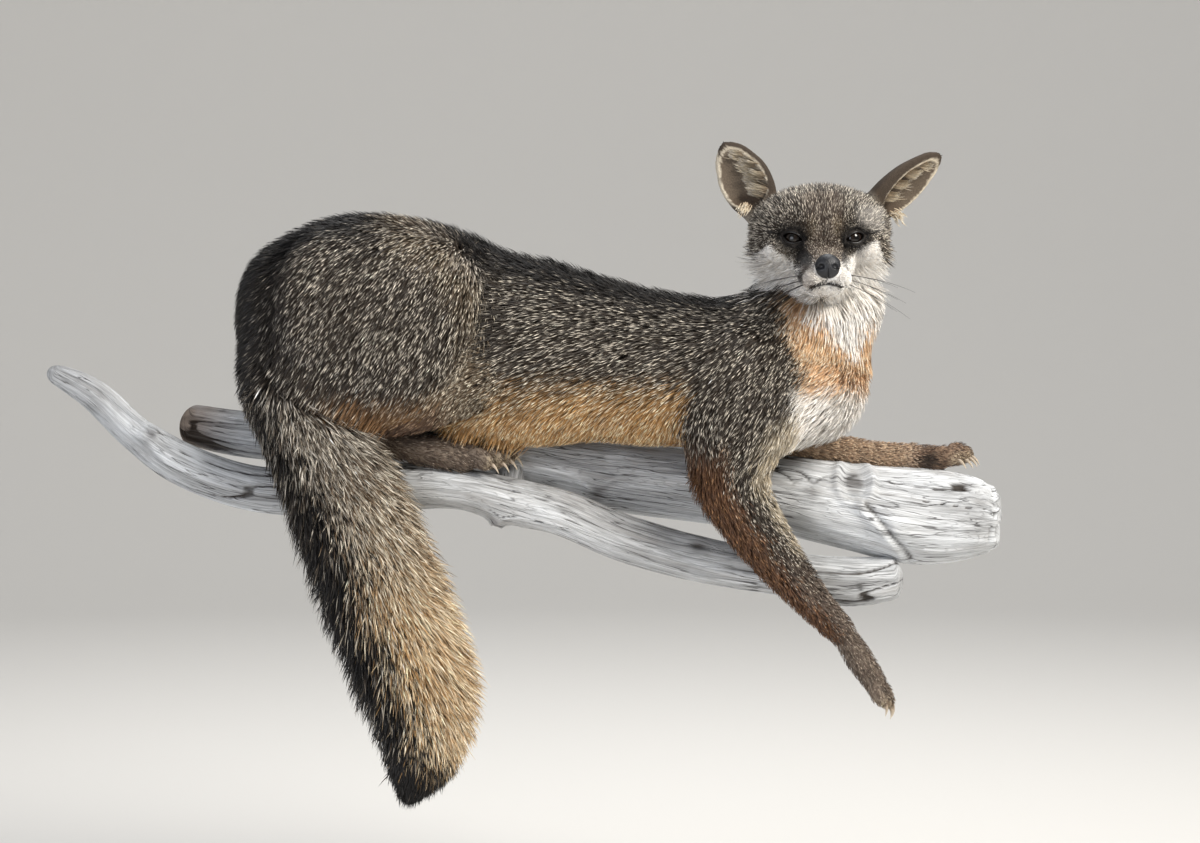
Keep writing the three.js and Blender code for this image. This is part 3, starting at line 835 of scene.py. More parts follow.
def outline(p):
    """Distance to the outline that the tips of the coat reach."""
    d = np.full(len(p), FAR)
    for form in BODY.values():
        d = apply(form, p, d, lambda a, b: melted(a, b, 6.0), coat=False)
    for ball in FACE_BALLS:
        d = apply(ball, p, d, lambda a, b: melted(a, b - FACE_HAIR, 3.0))
    for toes, _ in PAWS.values():
        for toe in toes:
            d = apply(toe, p, d, lambda a, b: np.minimum(a, b - TOE_HAIR), coat=False)
    return d


LIE = {
    "trunk": (-1, 0, -0.42), "neck": (-0.25, 0, -1), "tail": "along",
    "thigh_right": (-0.5, 0, -0.85), "thigh_left": (-0.5, 0, -0.85),
    "shoulder_right": (-0.55, 0, -0.85), "forearm_right": "along", "forearm_left": "along",
    "shank_right": "along", "shank_left": "along", "hindpaw_right": "along",
    "hindpaw_left": "along", "forepaw_right": "along", "forepaw_left": "along",
    "skull": "head", "muzzle": "head", "jaw": "head", "ruff_left": "head", "ruff_right": "head",
}


def head_lie(p):
    """Away from the nose, and out and down on the cheeks."""
    q = to_head(p)
    way = np.stack([q[:, 0] * 1.1, q[:, 1] + 92, q[:, 2] + 36], 1)
    cheek = np.clip((-q[:, 2] - 2) / 30, 0, 1) * np.clip((q[:, 1] + 66) / 26, 0, 1)
    way = unit(way)
    sideways = np.where(q[:, 0] < 0, -1.8, 0.6)
    way[:, 2] -= np.where(q[:, 0] < 0, 0.85, 1.15) * cheek
    way[:, 0] += sideways * cheek
    way[:, 1] -= 0.35 * cheek
    way[:, 2] *= np.where((q[:, 1] < -58) & (np.abs(q[:, 2] + 48) < 9), 0.35, 1.0)
    way = from_head(way, True)
    for centre, _, ahead, _ in EYES.values():
        v = p - centre
        near = ramp(24, 12, np.linalg.norm(v, axis=1))[:, None]
        way = way + 1.5 * near * unit(v - ahead * (v @ ahead)[:, None])
    return unit(way)


def combed(p, normal):
    """Unit way of the hair along the skin at each point."""
    total = np.zeros_like(p)
    for name, form in BODY.items():
        near = np.flatnonzero(inside(form, p))
        if not len(near):
            continue
        q = p[near]
        weight = np.exp(-np.clip(form.distance(q), -4, 60) / 6.0)
        lie = LIE[name]
        if isinstance(lie, tuple):
            way = np.broadcast_to(unit(np.array(lie, float)), q.shape)
        elif lie == "along":
            way = form.locate(q)[5]
        else:
            way = head_lie(q)
        total[near] += way * weight[:, None]
    belly = np.clip((74 - p[:, 2]) / 30, 0, 1) * (np.abs(p[:, 0] + 10) < 112)
    total += (belly * np.linalg.norm(total, axis=1))[:, None] * [0.6, 0, -0.9]
    flat = total - normal * (total * normal).sum(1)[:, None]
    return unit(flat)


skin_normal = unit(slope(flesh, skin_verts, 0.8))
skin_deep = np.clip(-outline(skin_verts), 0.7, 42)
skin_lie = combed(skin_verts, skin_normal)
kind, high, inward, lip = ear_place(skin_verts)
for shell, _, _, axis, _, _ in EARS.values():
    ear = np.flatnonzero((kind > 0) & inside(shell, skin_verts))
    way = from_head(unit(axis)[None], True)[0]
    flat = way - skin_normal[ear] * (skin_normal[ear] @ way)[:, None]
    skin_lie[ear] = unit(flat)
    skin_deep[ear] = np.maximum(1.6, 7 * (0.16 - high[ear]) / 0.16)
for _ in range(3):
    skin_lie = unit(relax(skin_lie, skin_quads, 1, 0.7))
    skin_deep = relax(skin_deep[:, None], skin_quads, 1, 0.7)[:, 0]
say("depth of coat", float(skin_deep.min()), float(skin_deep.max()))

# %% [markdown]
# ## Markings and painted shade
# A gray fox is grizzled above, each guard hair dark with a cream band near its
# tip, and rust to ochre low on the sides and behind the legs. Throat, cheeks
# and chest are white, and a black line runs over the rump and down the tail.
# One function gives these shares at any point, for the skin and for each tuft; it also lays painted shade
# in creases, between the toes, under the chin and on the fox's right side of the face, and a few painted
# highlights.

# %% Noise and masks
def noise(p, seed=0):
    """Smooth random values from -1 to 1 with one bump per unit."""
    i = np.floor(p).astype(np.int64)
    f = p - i
    f = f * f * (3 - 2 * f)
    total = np.zeros(len(p))
    for corner in range(8):
        c = np.array([corner & 1, corner >> 1 & 1, corner >> 2 & 1])
        q = i + c
        h = (q[:, 0] * 73856093 ^ q[:, 1] * 19349663 ^ q[:, 2] * 83492791 ^ seed * 374761393)
        h = ((h & 0xFFFFFFFF) ^ ((h & 0xFFFFFFFF) >> 13)) * 1274126177 & 0xFFFFFFFF
        total += (((h ^ (h >> 16)) & 0xFFFF) / 32767.5 - 1) * np.prod(np.where(c, f, 1 - f), axis=1)
    return total


PALETTES = {
    # share of banded hairs, then colours at root, middle, band and tip
    "grizzle": (0.42, "#41372D", "#322A22", "#E4DAC9", "#382F27"),
    "rust": (0.30, "#3F2B1F", "#62432C", "#A77B52", "#6B4A31"),
    "ochre": (0.60, "#5F4428", "#B88C57", "#FFECC6", "#DCB57B"),
    "apricot": (0.55, "#C8A078", "#D8B088", "#F8E8D0", "#E2C098"),
    "straw": (0.60, "#5F5040", "#7E6C56", "#E6DAC0", "#A8977C"),
    "silver": (0.62, "#4A4239", "#5C5248", "#E9E1D3", "#A99C89"),
    "white": (0.60, "#DED8CE", "#F2EDE6", "#FEFDFB", "#FAF7F2"),
    "black": (0.05, "#191514", "#120F0E", "#4A443E", "#0C0A0A"),
    "paw": (0.30, "#4A3E36", "#6A5A4E", "#B09F8C", "#5E5046"),
    "ear": (0.30, "#241C17", "#2E251F", "#7C6A58", "#1E1814"),
    "cream": (0.60, "#A8937A", "#D2C3A8", "#F4ECDC", "#E2D6C0"),
}
ZONES = list(PALETTES)


def markings_and_painted_shade(p):
    """Share of each palette at every point, painted shade and highlight among them."""
    n = len(p)
    w = {zone: np.zeros(n) for zone in ZONES}
    w["grizzle"][:] = 1.0

    def lay(zone, share, where=slice(None)):
        share = np.clip(share, 0, 1)
        for other in ZONES:
            w[other][where] *= 1 - share
        w[zone][where] += share

    rough = noise(p / 14.0, 3) * 6 + noise(p / 5.0, 4) * 4
    x, y, z = p[:, 0], p[:, 1], p[:, 2] + rough
    number = owner(p)
    on = lambda *which: owned(number, *which)
    body = on("trunk", "neck", "shoulder_right", "thigh_right", "thigh_left")

    # back and flanks
    low = ramp(90, 56, z) * between(-118, 96, 9, x)
    lay("ochre", low * (body & ~on("shoulder_right")))
    ridge = np.interp(x, [-291, -252, -204, -144, -96, -48, 0, 40, 84, 132, 160],
                      [146, 174, 196, 191, 170, 161, 146, 136, 130, 129, 128])
    reach_y = np.where(x < -160, ramp(-142, -128, y), ramp(-122, -100, y))
    lay("black", 0.92 * ramp(-20, -8, z - ridge) * ramp(165, 140, x) * reach_y * body)
    # end of the rump: black hair, darkened further as painted shade
    lay("black", 0.85 * ramp(-244, -264, x + 0.6 * rough) * ramp(40, 80, z) * body)
    lay("black", 0.5 * ramp(-216, -244, x + rough) * ramp(60, 100, z) * body)
    lay("rust", 0.85 * ramp(84, 52, z) * between(-230, -110, 12, x) * on("thigh_right", "shank_right"))
    lay("ochre", 0.3 * ramp(80, 52, z) * between(-230, -120, 12, x) * on("thigh_right"))
    # pale rim round the front of the near thigh, straw hair and partly a painted highlight along its lit
    # edge, and painted shade in the crease ahead of it
    out = np.hypot((x + 172) / 90, (z - 120) / 86)
    turn = np.arctan2(z - 120, x + 172)
    rim = ramp(0.66, 0.92, out) * between(-0.95, 1.35, 0.25, turn)
    lay("straw", 0.6 * rim * on("thigh_right", "shank_right") * ramp(36, 46, z))
    # painted highlight: white at the very edge of the rim
    lay("white", 0.22 * ramp(0.86, 0.98, out) * between(-0.95, 1.2, 0.2, turn)
        * on("thigh_right") * ramp(36, 46, z))
    # painted shade: the trunk darkened in the crease ahead of the thigh
    crease_shade = ramp(1.32, 1.06, out) * between(-0.25, 1.2, 0.25, turn) * ramp(-40, -70, y)
    lay("black", 0.62 * crease_shade * on("trunk"))
    # throat, chest and the patch between
    line = np.interp(x, [120, 142, 149, 165, 188, 196, 204, 222],
                     [190, 160, 148, 126, 111, 96, 118, 128])
    front = ramp(-52, -66, y)
    edge = np.interp(z, [0, 57, 85, 120, 140], [152, 160, 161, 150, 144])
    side_patch = ramp(-7, 7, x + 0.6 * rough - edge)
    lay("apricot", side_patch * ramp(146, 130, z) * body * ramp(-40, -60, y))
    lay("ochre", 0.30 * side_patch * ramp(128, 104, z) * ramp(84, 98, z) * body * front)
    lay("white", ramp(-5, 4, z - line) * ramp(140, 149, x) * front * on("neck", "trunk", "shoulder_right"))
    lay("white", ramp(74, 62, z - 0.5 * rough) * ramp(146, 155, x)
        * on("trunk", "shoulder_right", "neck", "forearm_left") * ramp(-20, -40, y))
    # near foreleg: rust behind, grizzled outside, pale down its front edge
    for name in ("shoulder_right", "forearm_right"):
        k = np.flatnonzero(on(name))
        if len(k):
            _, _, _, b, size, _ = BODY[name].locate(p[k])
            turn = b / size[:, 1] + 0.12 * rough[k] / 5
            rear = ramp(0.12, -0.22, turn) * ramp(46, 18, z[k])
            lay("rust", rear * ramp(-150, -120, z[k]), k)
            lay("cream", 0.7 * ramp(0.42, 0.62, turn) * ramp(56, 36, z[k]) * ramp(-70, -40, z[k]), k)
            lay("paw", 0.75 * ramp(-40, -100, z[k]) * ramp(-0.3, 0.0, turn), k)
    lay("rust", 0.6 * on("shank_right", "shank_left") * ramp(52, 40, z))
    lay("paw", 0.85 * on("hindpaw_right", "hindpaw_left") + 0.35 * on("shank_right") * ramp(60, 40, z))
    lay("ochre", 0.75 * on("forearm_left") * ramp(300, 240, x))
    lay("paw", 0.8 * on("forepaw_left", "forepaw_right"))
    lay("rust", 0.45 * on("forepaw_left", "forearm_left"))
    pad = np.hypot((x - 266.7) / 9, (p[:, 2] - 10.7) / 6)
    lay("black", 0.8 * ramp(1.15, 0.8, pad) * ramp(-50, -57, y))
    for name, (toes, claws) in PAWS.items():
        k = np.flatnonzero(on(name))
        ends = np.array([point for point, _, _ in claws])
        gap = np.linalg.norm(p[k][:, None] - ends, axis=2).min(1)
        # pale toe ends: tan knuckles, partly a painted highlight on the tops of the toes
        lay("straw", 0.65 * ramp(12, 5, gap), k)
        # painted shade: dark in the creases between neighbouring toes
        near = np.sort(np.stack([toe.distance(p[k]) for toe in toes], 1), 1)
        lay("black", 0.85 * ramp(2.6, 0.9, near[:, 1] - near[:, 0]) * ramp(5, 3, near[:, 0]), k)
    # tail: black above, ochre under its last half, black tip
    k = np.flatnonzero(on("tail"))
    if len(k):
        u, _, a, b, _, _ = BODY["tail"].locate(p[k])
        turn = np.arctan2(a, b) + 0.2 * noise(p[k] / 18, 8)
        wide = 0.44 + 0.12 * u
        lay("silver", 0.75 * ramp(0.02, 0.16, u), k)
        lay("ochre", 0.92 * ramp(0.46, 0.62, u) * ramp(1.9, 0.9, np.abs(turn + 0.15)), k)
        lay("ochre", 0.35 * ramp(0.30, 0.55, u) * ramp(2.2, 1.5, np.abs(turn + 0.25)), k)
        lay("cream", 0.35 * ramp(0.40, 0.6, u) * ramp(1.1, 0.5, np.abs(turn)), k)
        back = ramp(math.pi - wide - 0.10, math.pi - wide + 0.10, np.abs(turn - 0.42))
        lay("black", back * ramp(0.03, 0.10, u), k)
        fringe = ramp(math.pi - 0.42, math.pi - 0.30, -turn) + (turn > 1.6) * ramp(2.2, 2.6, turn)
        lay("grizzle", 0.7 * np.clip(fringe, 0, 1) * ramp(0.46, 0.34, u), k)
        lay("black", ramp(0.765, 0.80, u + 0.010 * rough[k] / 5 - 0.03 * (np.abs(turn) < 1.2)), k)
    lay_head(p, lay, number)
    lay_ears(p, lay)
    total = np.stack([w[zone] for zone in ZONES], 1)
    return total / np.maximum(total.sum(1, keepdims=True), 1e-6)


def lay_head(p, lay, number):
    """White cheeks, chin and muzzle sides, dark stripes from eye to lip; painted shade under the chin and
    on the fox's right side of the face.
    """
    head = np.flatnonzero(owned(number, "skull", "muzzle", "jaw", "ruff_left", "ruff_right")
                          & (p[:, 2] > 118))
    if not len(head):
        return
    q = to_head(p[head])
    rough = noise(q / 6.0, 11) * 1.6 + noise(q / 2.5, 12) * 0.8
    x, y, z = q[:, 0] + rough, q[:, 1], q[:, 2] + rough
    ax = np.abs(x)
    right_cheek = q[:, 0] < 0
    # lower cheek and throat: white, its upper edge climbing outwards from the lip
    right_edge = np.interp(ax, [0, 14, 20, 27, 43, 51, 61, 68],
                           [-60, -42, -33, -27, -15, -22, -34, -48])
    left_edge = np.interp(ax, [0, 14, 18, 28, 40, 46, 50, 55, 62],
                          [-60, -38, -26, -18, -13, -20, -32, -50, -72])
    edge = np.where(right_cheek, right_edge, left_edge)
    muzzle = ramp(-58, -66, y)
    lay("paw", 0.40 * ramp(20, 12, ax) * ramp(-26, -36, y) * ramp(-40, -34, z), head)
    lay("silver", 0.45 * between(15, 44, 4, ax) * between(-34, -19, 4, z) * ramp(-4, -16, y), head)
    lay("white", ramp(1.5, -2.0, z - edge) * ramp(34, 18, y) * ramp(78, 70, ax), head)
    # the white on the fox's right cheek tinted with straw: a beige there, partly painted shade
    lay("straw", 0.12 * right_cheek * ramp(1.5, -2.5, z - edge) * ramp(-20, -6, y), head)
    lay("white", muzzle * ramp(0.5, -2.5, z + 33 - 0.25 * (y + 88)), head)
    # painted shade: the white muzzle dulled with straw on the fox's right
    lay("straw", 0.2 * muzzle * right_cheek * ramp(0.5, -2.5, z + 33), head)
    # dark patch along the side of the muzzle, from the eye corner to the lip: a marking, made wider and
    # darker on the fox's right as painted shade
    strip = np.where(right_cheek, 0.95 * between(11.5, 20, 1.5, ax - 0.10 * (y + 60)),
                     0.75 * between(13.0, 17.0, 1.0, ax - 0.10 * (y + 60)))
    lay("black", strip * between(-82, -42, 3, y) * between(-46, -14, 3, z), head)
    lay("black", 0.22 * ramp(4.2, 0.8, ax) * between(-60, -8, 8, y) * ramp(-22, -10, z), head)
    lay("straw", 0.5 * between(6.5, 14, 2, ax) * between(-9, 4, 2.5, z) * ramp(-20, -30, y), head)
    lay("white", 0.24 * ~right_cheek * between(26, 46, 5, ax) * between(-5, 14, 4, z)
        * ramp(0, -14, y), head)
    # painted shade: a dark arc under the brow, over the fox's right eye
    lay("black", 0.55 * right_cheek * between(14, 34, 4, ax) * between(-5, -1, 2, z - 0.1 * ax)
        * ramp(-8, -20, y), head)
    # painted shade: under the chin, below the corner of the mouth and down the side of the muzzle on the
    # fox's right
    lay("paw", 0.75 * ramp(-54.5, -58, z) * ramp(-56, -62, y) * ramp(9, 3, q[:, 0]), head)
    lay("paw", 0.6 * right_cheek * ramp(-47, -50, z) * ramp(-50, -58, y) * ramp(8, 11, ax), head)
    lay("paw", 0.35 * right_cheek * muzzle * ramp(9.5, 11.5, ax) * ramp(-30, -36, z), head)
    # lips and the rims of the eyes
    lip = lip_line(q)
    lay("black", ramp(1.9, 0.9, np.abs(q[:, 2] - lip)) * ramp(-46, -52, y)
        * ramp(16, 12, np.abs(q[:, 0])), head)
    for way in (1, -1):
        centre, side, _, up = EYES[way]
        v = p[head] - centre
        r = np.linalg.norm(v, axis=1)
        a, b = v @ side, v @ up
        lay("black", 0.5 * ramp(18, 11, r), head)
        lay("black", ramp(5.5, 2.4, lid_slit(p[head], way)) * (r < 16), head)
        streak = between(8, 22, 2, a) * ramp(1.9, 0.8, np.abs(b - 0.5 - 0.02 * (a - 8)))
        lay("black", 0.85 * streak * (r < 27), head)
    # outer fringe of the ruff
    lay("straw", 0.5 * ~right_cheek * ramp(54, 62, ax) * ramp(-4, -14, z), head)


def lay_ears(p, lay):
    """Dark backs, cream rims, and a dark pocket low inside."""
    kind, high, inward, lip = ear_place(p)
    lay("ear", 1.0 * (kind > 0) * ramp(0.03, 0.14, high))
    lay("black", 0.5 * (kind == 1) * ramp(0.05, 0.2, high))
    lay("cream", (kind == 2) * (0.06 + 0.5 * ramp(0.0, 0.7, inward)) * ramp(0.2, 0.42, high))
    lay("cream", 0.75 * (kind > 0) * ramp(0.38, 0.8, lip) * ramp(0.08, 0.22, high))
    lay("cream", 0.8 * (kind == 1) * ramp(-0.55, -0.75, inward) * ramp(0.2, 0.4, high))


# %% [markdown]
# ## Unwrap
# The skin is laid out form by form: along the form one way and round it the
# other, as a hide is cut and pinned flat. Each tuft later takes a small patch
# of the same layout at its root.

# %% Layout of the hide
EAR_PARTS = [part for ear in EARS.values() for part in ear[:2]]
PANELS = list(BODY.values()) + EAR_PARTS


def lay_out(panels, gap=0.012):
    """A rectangle (left, bottom, width, height) for each form, none touching."""
    size = [(form.length, float(2 * math.pi * form.size[:, :3].mean())) for form in panels]
    order = sorted(range(len(panels)), key=lambda k: -size[k][1])
    wide = math.sqrt(sum(a * b for a, b in size)) * 1.12
    spots, left, bottom, row = {}, 0.0, 0.0, 0.0
    pad = gap * wide
    for k in order:
        a, b = size[k]
        if left + a > wide:
            left, bottom, row = 0.0, bottom + row + pad, 0.0
        spots[k] = (left, bottom, a, b)
        left += a + pad
        row = max(row, b)
    whole = max(wide, bottom + row)
    return [tuple(v / whole * 0.96 + (0.02 if i < 2 else 0) for i, v in enumerate(spots[k]))
            for k in range(len(panels))]


RECTANGLES = lay_out(PANELS)


def panel_of(p):
    """Number of the form nearest to each point; the ears' insides are their own."""
    best = np.full(len(p), FAR)
    number = np.zeros(len(p), int)
    for k, form in enumerate(PANELS):
        near = np.flatnonzero(inside(form, p))
        if not len(near):
            continue
        d = form.distance(p[near])
        if k >= len(BODY):
            d = np.where(np.abs(d) < 1.2, -2.0 + np.abs(d), FAR)
            d = np.where(form.locate(p[near])[0] > 0.2, d, FAR)
        closer = d < best[near]
        best[near[closer]] = d[closer]
        number[near[closer]] = k
    return number


def on_panel(p, number):
    """Place along and round the form, each 0 to 1."""
    out = np.zeros((len(p), 2))
    for k in np.unique(number):
        here = np.flatnonzero(number == k)
        u, _, a, b, _, _ = PANELS[k].locate(p[here])
        out[here, 0] = u
        out[here, 1] = np.arctan2(a, b) / (2 * math.pi) + 0.5
    return out


def to_sheet(place, number):
    rect = np.array(RECTANGLES)[number]
    return rect[:, :2] + place * rect[:, 2:]


def sheet_map(verts, faces):
    """Unwrap coordinates for every face corner."""
    middle = verts[faces].mean(1)
    number = panel_of(middle)
    centre = on_panel(middle, number)
    corners = np.repeat(number, faces.shape[1])
    place = on_panel(verts[faces].reshape(-1, 3), corners)
    turn = np.repeat(centre[:, 1], faces.shape[1])
    place[:, 1] -= np.round(place[:, 1] - turn)
    return to_sheet(place, corners).reshape(len(faces), -1, 2)


def add_uv(obj, name, uv):
    layer = obj.data.uv_layers.new(name=name)
    layer.data.foreach_set("uv", np.asarray(uv, np.float32).ravel())


def add_colour(obj, colours, name="Coat"):
    """A colour for each corner of the mesh, in linear light."""
    data = np.ones((len(colours), 4), np.float32)
    data[:, :3] = colours
    layer = obj.data.color_attributes.new(name, "FLOAT_COLOR", "POINT")
    layer.data.foreach_set("color", data.ravel())


def linear(hex_code):
    """Linear light from an sRGB hex colour."""
    c = np.array([int(hex_code[k:k + 2], 16) / 255 for k in (1, 3, 5)])
    return np.where(c <= 0.04045, c / 12.92, ((c + 0.055) / 1.055) ** 2.4)


BANDS = np.array([[linear(code) for code in PALETTES[zone][1:]] for zone in ZONES])
BANDED = np.array([PALETTES[zone][0] for zone in ZONES])

# %% [markdown]
# ## Materials
# Hair is a horny fibre with a soft gloss; skin on a mount is dry and matt, and
# on the nose pebbled leather. Every material is built from nodes: a colour
# from the markings and painted shade, broken up by noise of the real grain's size, and a bump.

# %% Node helpers
TIMES = {"data_type": "RGBA", "blend_type": "MULTIPLY"}
OVER = {"data_type": "RGBA"}
MIX_COLOUR = 2                   # number of a mix node's colour output


def add(tree, kind, settings=None, out=0, **links):
    """Adds a node, sets its properties and inputs, links what is a socket, and
    gives back one of its outputs."""
    node = tree.nodes.new(kind)
    for key, value in (settings or {}).items():
        setattr(node, key, value)
    for key, value in links.items():
        name = int(key[1:]) if key[1:].isdigit() else key.replace("_", " ")
        if isinstance(value, bpy.types.NodeSocket):
            tree.links.new(value, node.inputs[name])
        else:
            node.inputs[name].default_value = value
    return node.outputs[out]


def rgba(hex_code):
    return (*[float(v) for v in linear(hex_code)], 1.0)


def material(name, **finish):
    """A new material, its tree and its shader, with the finish set on it."""
    mat = bpy.data.materials.new(name)
    mat.use_nodes = True
    tree = mat.node_tree
    tree.nodes.clear()
    shader = tree.nodes.new("ShaderNodeBsdfPrincipled")
    last = tree.nodes.new("ShaderNodeOutputMaterial")
    tree.links.new(shader.outputs[0], last.inputs[0])
    for key, value in finish.items():
        shader.inputs[key.replace("_", " ")].default_value = value
    return mat, tree, shader


def shaded(tree, colour, value, low, high, dark, pale):
    """The colour times dark where a value is low, times pale where it is high."""
    shade = add(tree, "ShaderNodeMapRange", i0=value, i1=low, i2=high, i3=dark, i4=pale)
    tint = add(tree, "ShaderNodeCombineColor", i0=shade, i1=shade, i2=shade)
    return add(tree, "ShaderNodeMix", TIMES, MIX_COLOUR, i0=1.0, i6=colour, i7=tint)


# %% Hair, skin and leather
def hair_material():
    """Guard hair: a soft sheen along the fibre, paler and darker lock by lock."""
    mat, tree, shader = material("guard_hair", Roughness=0.55, Specular_IOR_Level=0.35,
                                 Sheen_Weight=0.12, Sheen_Roughness=0.4)
    colour = add(tree, "ShaderNodeAttribute", {"attribute_name": "Coat"})
    place = add(tree, "ShaderNodeTexCoord", out="Object")
    lock = add(tree, "ShaderNodeTexNoise", Vector=place, Scale=260.0, Detail=2.0)
    tree.links.new(shaded(tree, colour, lock, 0.3, 0.7, 0.86, 1.12), shader.inputs["Base Color"])
    return mat


def skin_material():
    """Short flat hair on hide: fine streaks in the colour and a velvet bump."""
    mat, tree, shader = material("short_coat", Roughness=0.75, Specular_IOR_Level=0.25)
    colour = add(tree, "ShaderNodeAttribute", {"attribute_name": "Coat"})
    place = add(tree, "ShaderNodeTexCoord", out="Object")
    fine = add(tree, "ShaderNodeTexNoise", Vector=place, Scale=1500.0, Detail=3.0)
    broad = add(tree, "ShaderNodeTexNoise", Vector=place, Scale=420.0, Detail=2.0)
    tree.links.new(shaded(tree, colour, fine, 0.3, 0.7, 0.72, 1.25), shader.inputs["Base Color"])
    height = add(tree, "ShaderNodeMath", {"operation": "ADD"}, i0=fine, i1=broad)
    bump = add(tree, "ShaderNodeBump", Height=height, Strength=0.55, Distance=0.0006)
    tree.links.new(bump, shader.inputs["Normal"])
    return mat


def leather_material():
    """Nose leather: near black, finely pebbled, waxed to a dull shine."""
    mat, tree, shader = material("nose_leather", Roughness=0.38, IOR=1.5)
    place = add(tree, "ShaderNodeTexCoord", out="Object")
    pebble = add(tree, "ShaderNodeTexVoronoi", {"feature": "F1"}, Vector=place, Scale=1300.0)
    worn = add(tree, "ShaderNodeTexNoise", Vector=place, Scale=180.0, Detail=3.0)
    worn = add(tree, "ShaderNodeMapRange", i0=worn, i1=0.35, i2=0.75)
    base = add(tree, "ShaderNodeMix", OVER, MIX_COLOUR, i0=worn, i6=rgba("#17181C"),
               i7=rgba("#25272C"))
    tree.links.new(base, shader.inputs["Base Color"])
    bump = add(tree, "ShaderNodeBump", {"invert": True}, Height=pebble, Strength=0.5,
               Distance=0.0004)
    tree.links.new(bump, shader.inputs["Normal"])
    return mat


def glass_eye_material():
    """Painted glass: deep brown iris under a clear, very smooth front."""
    mat, tree, shader = material("glass_eye", Roughness=0.06, IOR=1.5, Specular_IOR_Level=0.5)
    colour = add(tree, "ShaderNodeAttribute", {"attribute_name": "Coat"})
    place = add(tree, "ShaderNodeTexCoord", out="Object")
    fleck = add(tree, "ShaderNodeTexNoise", Vector=place, Scale=900.0, Detail=3.0)
    tree.links.new(shaded(tree, colour, fleck, 0.3, 0.7, 0.7, 1.3), shader.inputs["Base Color"])
    return mat


def horn_material():
    """Claw horn: brown-gray at the root, paler towards the point, polished."""
    mat, tree, shader = material("claw_horn", Roughness=0.35, IOR=1.55)
    colour = add(tree, "ShaderNodeAttribute", {"attribute_name": "Coat"})
    place = add(tree, "ShaderNodeTexCoord", out="Object")
    grain = add(tree, "ShaderNodeTexNoise", Vector=place, Scale=700.0, Detail=2.0)
    tree.links.new(shaded(tree, colour, grain, 0.3, 0.7, 0.8, 1.15), shader.inputs["Base Color"])
    return mat


HAIR = hair_material()
SKIN = skin_material()
LEATHER = leather_material()
GLASS = glass_eye_material()
HORN = horn_material()

# %% [markdown]
# ## Skin
# The whole hide in one piece. Its colour is that of the hair near the root, darkened as painted shade so
# that partings look deep, except where the hair is too short to cover it.

# %% Skin piece
def seen_colour(share, deep):
    """Skin colour: root colour darkened as painted shade under long hair, mean hair colour under short."""
    # painted shade: the root colour darkened by a quarter
    root = share @ (BANDS[:, 0] * 0.75)
    mean = share @ (0.45 * BANDS[:, 1] + 0.35 * BANDS[:, 2] + 0.2 * BANDS[:, 3])
    short = np.clip((7 - deep) / 4, 0, 1)[:, None]
    return root * (1 - short) + mean * short


skin = mesh_object("skin", skin_verts, skin_quads)
add_colour(skin, seen_colour(markings_and_painted_shade(skin_verts), skin_deep))
add_uv(skin, "OFBake", sheet_map(skin_verts, skin_quads))
skin.data.materials.append(SKIN)
FLESH = [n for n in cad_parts
         if n.split("_")[0] in ("head", "neck", "trunk", "ear", "thigh", "shank", "hindpaw",
                                "shoulder", "forearm", "forepaw", "tail")]
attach(skin, "root")
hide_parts(*FLESH)
say("skin", len(skin_verts), "corners")

# %% [markdown]
# ## Tufts
# A coat is locks of guard hair over underfur. Each tuft here is a thin curved
# blade that tapers to a point: rooted in the skin, leaning the way the coat
# lies, its tip drawn towards the middle of its lock and out to the model's
# outline. Blades were chosen over hair curves, which no other program keeps.

# %% Scatter and locks
tri = np.concatenate([skin_quads[:, [0, 1, 2]], skin_quads[:, [0, 2, 3]]])
edge_a = skin_verts[tri[:, 1]] - skin_verts[tri[:, 0]]
edge_b = skin_verts[tri[:, 2]] - skin_verts[tri[:, 0]]
tri_area = np.linalg.norm(np.cross(edge_a, edge_b), axis=1) / 2
tri_middle = skin_verts[tri].mean(1)


def scatter(share, count):
    """Roots spread over the skin by area times share."""
    weight = tri_area * share
    pick = RNG.choice(len(tri), size=count, p=weight / weight.sum())
    a, b = RNG.random((2, count))
    flip = a + b > 1
    a[flip], b[flip] = 1 - a[flip], 1 - b[flip]
    mix = np.stack([1 - a - b, a, b], 1)[:, :, None]
    take = lambda values: (values[tri[pick]] * mix).sum(1)
    return {
        "p": take(skin_verts), "n": unit(take(skin_normal)), "lie": unit(take(skin_lie)),
        "deep": take(skin_deep[:, None])[:, 0],
    }


def lock_of(p, size, seed):
    """Middle of the nearest lock, and three random numbers of its own."""
    cell = np.floor(p / size).astype(np.int64)
    best = np.full(len(p), 1e9)
    middle = np.zeros_like(p)
    own = np.zeros((len(p), 3))
    for step in range(27):
        c = cell + np.array([step % 3 - 1, step // 3 % 3 - 1, step // 9 - 1])
        h = (c[:, 0] * 73856093 ^ c[:, 1] * 19349663 ^ c[:, 2] * 83492791 ^ seed * 2654435) & 0xFFFFFFFF
        own_here = np.empty((len(p), 3))
        for k in range(3):
            h = (h * 1664525 + 1013904223) & 0xFFFFFFFF
            h = h ^ (h >> 15)
            own_here[:, k] = (h & 0xFFFFF) / 0xFFFFF
        spot = (c + own_here) * size
        d = ((p - spot) ** 2).sum(1)
        closer = d < best
        best[closer] = d[closer]
        middle[closer] = spot[closer]
        own[closer] = own_here[closer]
    return middle, own


# %% Blades
RINGS = (0.0, 0.55, 0.78)
FINE_RINGS = (0.0, 0.77, 0.89)
WIDTHS = (0.8, 1.0, 0.7)
BLADE = np.array([[0, 1, 3], [0, 3, 2], [2, 3, 5], [2, 5, 4], [4, 5, 6]])
CORNERS = 7                      # three pairs, then the tip
BLADE_UV = np.array([[-1, -1], [1, -1], [-1, -0.1], [1, -0.1], [-0.8, 0.5], [0.8, 0.5], [0, 1]])
UV_REACH = 0.0015
WALL_GAP = 1.5                   # no tuft comes nearer to the wall, in millimetres
MOST_FACES = 195000              # in one piece


